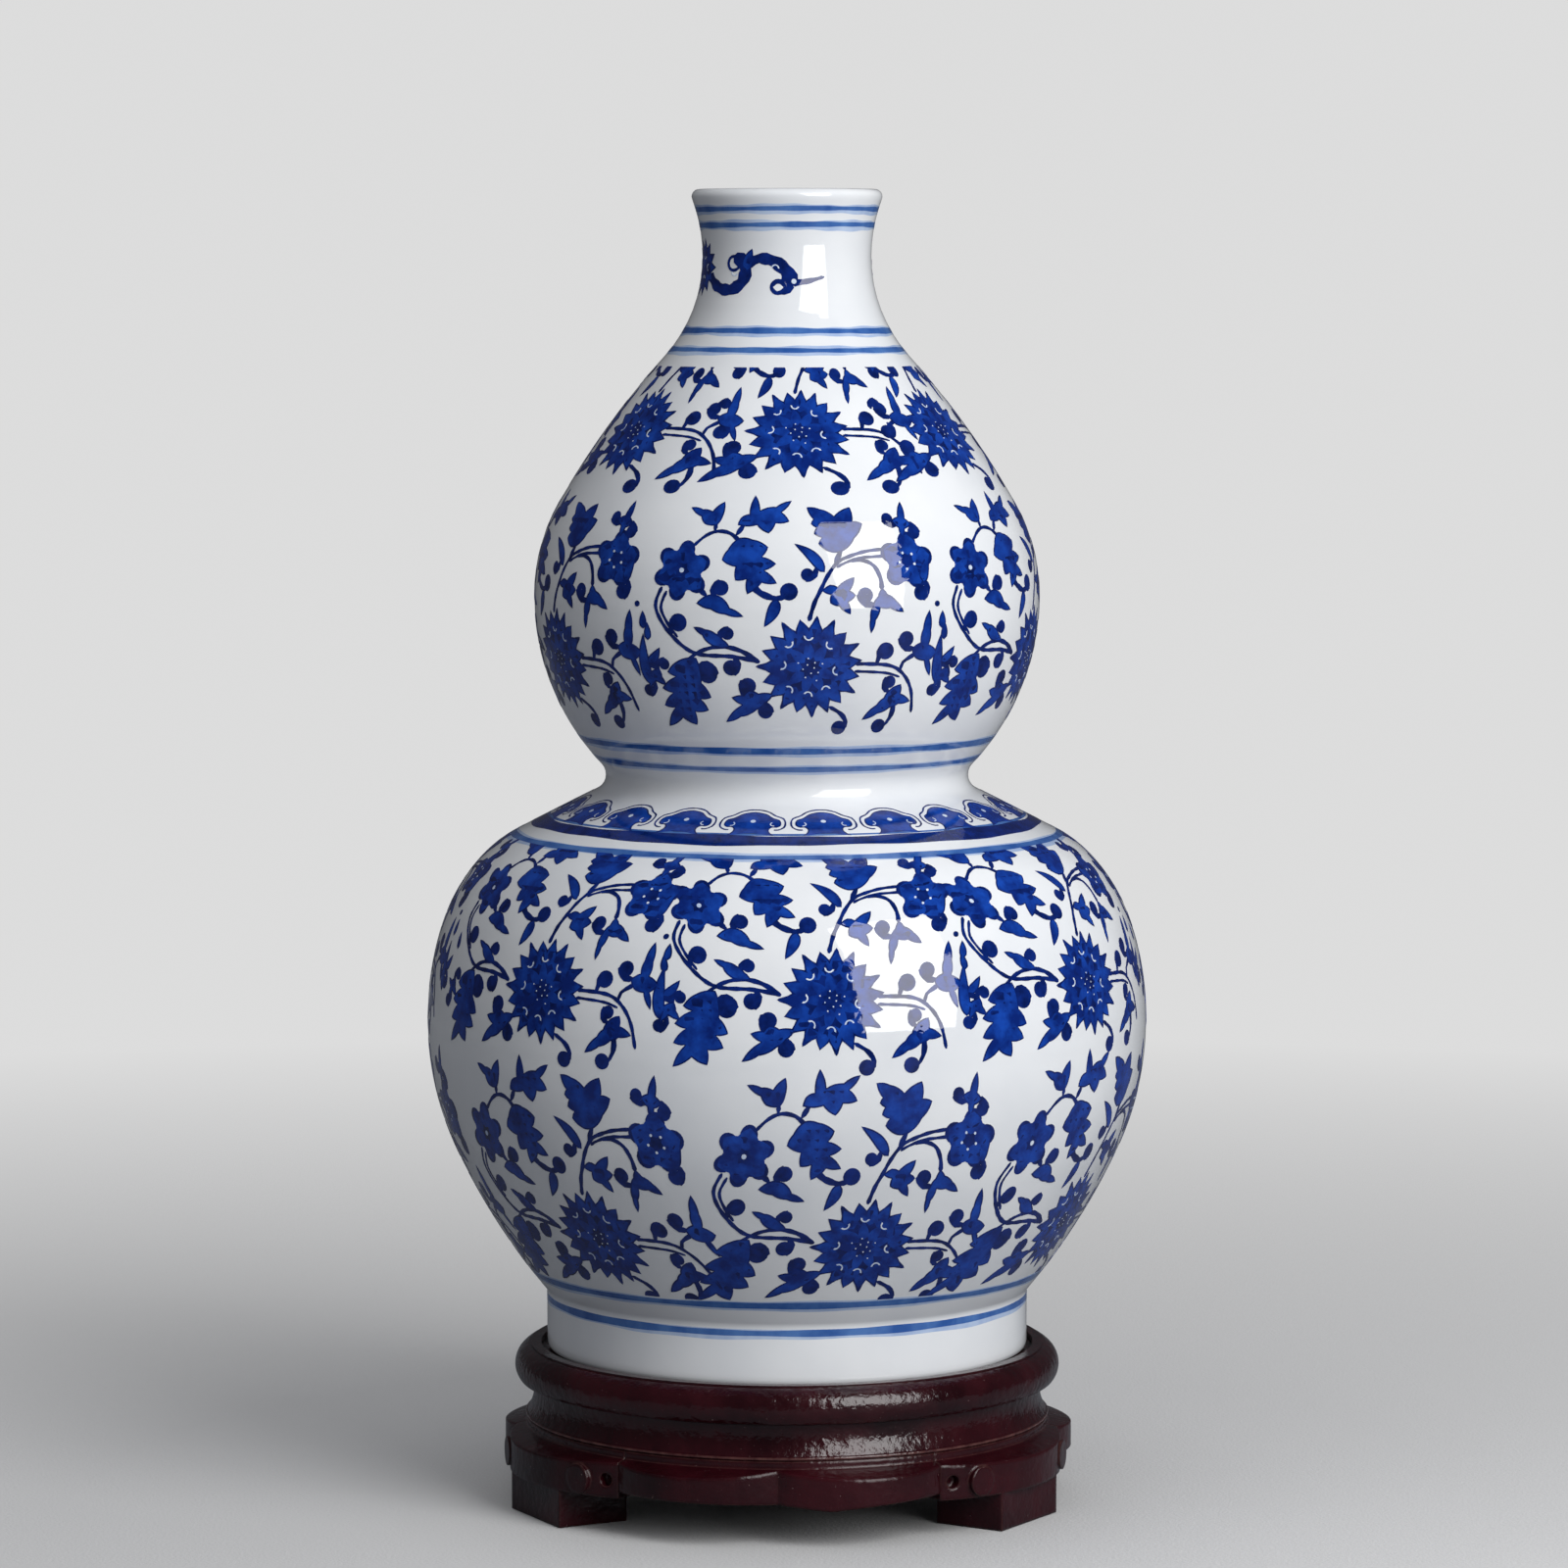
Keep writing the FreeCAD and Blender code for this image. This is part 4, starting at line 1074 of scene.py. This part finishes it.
def cloud_head():
    """A round cloud head on a narrow foot, with a fine line round it."""
    right = [(6.6, 0.0), (5.6, 1.2), (5.0, 2.6), (5.2, 3.9), (6.0, 4.6), (7.1, 4.5), (8.2, 5.4), (8.4, 7.1),
             (7.8, 8.7), (6.3, 9.5), (5.2, 10.5), (3.9, 11.8), (2.1, 12.6), (0.0, 13.0)]
    shape = curve(right + [(-x, y) for x, y in right[::-1][1:]], 0.9)
    outline = [(6.4, 3.2), (7.6, 3.2), (9.2, 4.6), (9.6, 7.0), (9.0, 9.4), (7.2, 10.6), (6.1, 11.4),
               (4.6, 12.9), (2.4, 13.9), (0.0, 14.2)]
    edge = outline + [(-x, y) for x, y in outline[::-1][1:]]
    made = wash_and_edge(shape, 0.5)
    made.append(strip(edge, 0.55, 0.55, blunt=True))
    made.append(patch(FLECK, disc((0.0, 7.8), 0.8, 12)))
    made.append(crescent((6.3, 6.3), 1.2, 200.0))
    made.append(crescent((-6.3, 6.3), 1.2, -20.0))
    return made


HEADS = 20
FIRST_HEAD = -8.7
# Arc lengths up the wall of the heads' foot, and of the level where they are as wide as drawn
CLOUD_FOOT = 190.4 * MM
CLOUD_WIDTH_LEVEL = 198.0 * MM

band = Paint("cloud_band")
paint_row(band, prepared(cloud_head()), [FIRST_HEAD + 360.0 * k / HEADS for k in range(HEADS)], CLOUD_FOOT,
          at_length(CLOUD_WIDTH_LEVEL)[0] / at_length(CLOUD_FOOT)[0])
band.finish()


# Scroll on the neck


def neck_unit():
    """A small flower and the scroll that runs from it, with its curls and leaf."""
    made = []
    flower = []
    petals = 13
    for index in range(petals):
        tip = 2 * math.pi * index / petals
        for offset, radius in ((-0.5, 6.2), (0.0, 8.8)):
            angle = tip + offset * 2 * math.pi / petals
            flower.append((radius * 0.9 * math.cos(angle), radius * math.sin(angle)))
    made += wash_and_edge(dense(flower, 1.0), 0.5)
    for x, y, turn in ((0.0, 3.6, 270.0), (3.2, 0.0, 180.0), (0.0, -3.6, 90.0)):
        made.append(crescent((x, y), 1.2, turn))
    made.append(strip([(5.0, -2.2), (9.4, -5.6), (15.0, -6.8), (19.0, -4.6), (20.2, -0.8), (18.6, 2.2),
                       (15.8, 2.4)], 2.8, 4.6))
    made.append(patch(LINE, disc((15.9, 1.2), 2.6)))
    made.append(crescent((16.4, -1.4), 1.3, 250.0))
    made += wash_and_edge(leaf((20.4, -1.2), (22.4, 5.6), 3.4, 0.4), 0.4)
    made.append(strip([(20.6, 0.6), (24.4, 2.6), (29.2, 1.8), (33.4, -1.6), (34.2, -5.0)], 2.6, 4.8))
    made.append(patch(LINE, disc((30.6, -5.9), 2.5)))
    made.append(strip([(34.2, -4.6), (33.4, -7.0), (31.0, -7.8)], 2.6, 1.6))
    made.append(crescent((29.6, -0.4), 1.3, 80.0))
    made.append(patch(FLECK, disc((35.2, -4.2), 0.8, 8)))
    made.append(strip([(34.6, -4.6), (39.0, -4.2), (44.6, -2.8)], 2.4, 0.8))
    return made


NECK_SCROLL_RISE = 330.6 * MM
NECK_AZIMUTHS = [-73.5, 106.5]

neck = Paint("neck_scroll")
paint_row(neck, prepared(neck_unit()), NECK_AZIMUTHS, length_at(low_z + NECK_SCROLL_RISE))
neck.finish()


# Floor, lights and camera

FLOOR_SIZE = 6.0
FLOOR_LEVEL = -0.2 * MM
FLOOR_COLOUR = (0.62, 0.62, 0.62)
CLOTH_COLOUR = (0.17, 0.18, 0.20)
WEAVE_DEPTH = 0.3 * MM
BACKGROUND = (0.72, 0.72, 0.72)
FADE_START = 0.22
FADE_END = 1.1
ROOM_LIGHT = (0.30, 0.305, 0.32)
ROOM_MIRRORED = (0.05, 0.05, 0.055)


def studio_floor():
    """A pale floor that mirrors and lights the object like a darker cloth, and fades out far away."""
    material, nodes, links, surface = new_material("studio_floor")
    set_sockets(surface, {"Roughness": 0.9})
    where = position(nodes)
    rays = nodes.new("ShaderNodeLightPath")
    colour = mix(nodes, links, rays.outputs["Is Camera Ray"], CLOTH_COLOUR, FLOOR_COLOUR)
    links.new(colour, surface.inputs["Base Color"])
    weave = noise(nodes, links, where, scale=900.0, detail=2.0)
    links.new(relief(nodes, links, weave, WEAVE_DEPTH, 0.6), surface.inputs["Normal"])
    away = nodes.new("ShaderNodeVectorMath")
    away.operation = "LENGTH"
    links.new(where, away.inputs[0])
    far = ramp(nodes, links, away.outputs["Value"], FADE_START, FADE_END)
    plain = nodes.new("ShaderNodeEmission")
    plain.inputs["Color"].default_value = (*BACKGROUND, 1.0)
    both = nodes.new("ShaderNodeMixShader")
    links.new(math_node(nodes, links, "MULTIPLY", far, rays.outputs["Is Camera Ray"]), both.inputs[0])
    links.new(surface.outputs["BSDF"], both.inputs[1])
    links.new(plain.outputs["Emission"], both.inputs[2])
    links.new(both.outputs["Shader"], nodes["Material Output"].inputs["Surface"])
    corners = [(x * FLOOR_SIZE, y * FLOOR_SIZE, FLOOR_LEVEL) for x, y in ((-1, -1), (1, -1), (1, 1), (-1, 1))]
    floor = add_mesh("studio_floor", corners, [(0, 1, 2, 3)], [material], None, False)


def studio_room():
    """The glaze and the lacquer mirror a dark room, and the picture's background stays pale."""
    world = bpy.data.worlds.new("studio")
    bpy.context.scene.world = world
    world.use_nodes = True
    nodes = world.node_tree.nodes
    links = world.node_tree.links
    rays = nodes.new("ShaderNodeLightPath")
    room = mix(nodes, links, rays.outputs["Is Glossy Ray"], ROOM_LIGHT, ROOM_MIRRORED)
    colour = mix(nodes, links, rays.outputs["Is Camera Ray"], room, BACKGROUND)
    links.new(colour, nodes["Background"].inputs["Color"])


LIGHT_TARGET = Vector((0.0, 0.0, 0.2))


def area_light(name, azimuth, elevation, distance, wide, tall, power, mirrored=False):
    """A softbox aimed at the object's middle, at an azimuth from the front and an elevation in degrees."""
    lamp = bpy.data.lights.new(name, "AREA")
    lamp.shape = "RECTANGLE"
    lamp.size = wide
    lamp.size_y = tall
    lamp.energy = power
    thing = bpy.data.objects.new(name, lamp)
    bpy.context.scene.collection.objects.link(thing)
    thing.visible_glossy = mirrored
    turn = math.radians(azimuth)
    rise = math.radians(elevation)
    way = Vector((math.cos(rise) * math.sin(turn), -math.cos(rise) * math.cos(turn), math.sin(rise)))
    thing.location = LIGHT_TARGET + distance * way
    thing.rotation_euler = (-way).to_track_quat("-Z", "Y").to_euler()


CAMERA_PLACE = (-0.0009, -1.8369, 0.3770)
CAMERA_TILT = 85.08
CAMERA_LENS = 138.6
SENSOR_WIDTH = 36.0


def camera():
    data = bpy.data.cameras.new("photo_camera")
    data.sensor_width = SENSOR_WIDTH
    data.lens = CAMERA_LENS
    thing = bpy.data.objects.new("photo_camera", data)
    bpy.context.scene.collection.objects.link(thing)
    thing.location = CAMERA_PLACE
    thing.rotation_euler = (math.radians(CAMERA_TILT), 0.0, 0.0)
    bpy.context.scene.camera = thing


studio_floor()
studio_room()
area_light("key_softbox", 37.5, 24.5, 1.15, wide=0.66, tall=1.0, power=13.2, mirrored=True)
area_light("top_fill", -20.0, 72.0, 1.6, wide=1.2, tall=1.2, power=4.0)
area_light("back_fill", 190.0, 14.0, 1.6, wide=1.2, tall=1.2, power=4.0)
camera()
bpy.context.scene.view_settings.view_transform = "Standard"
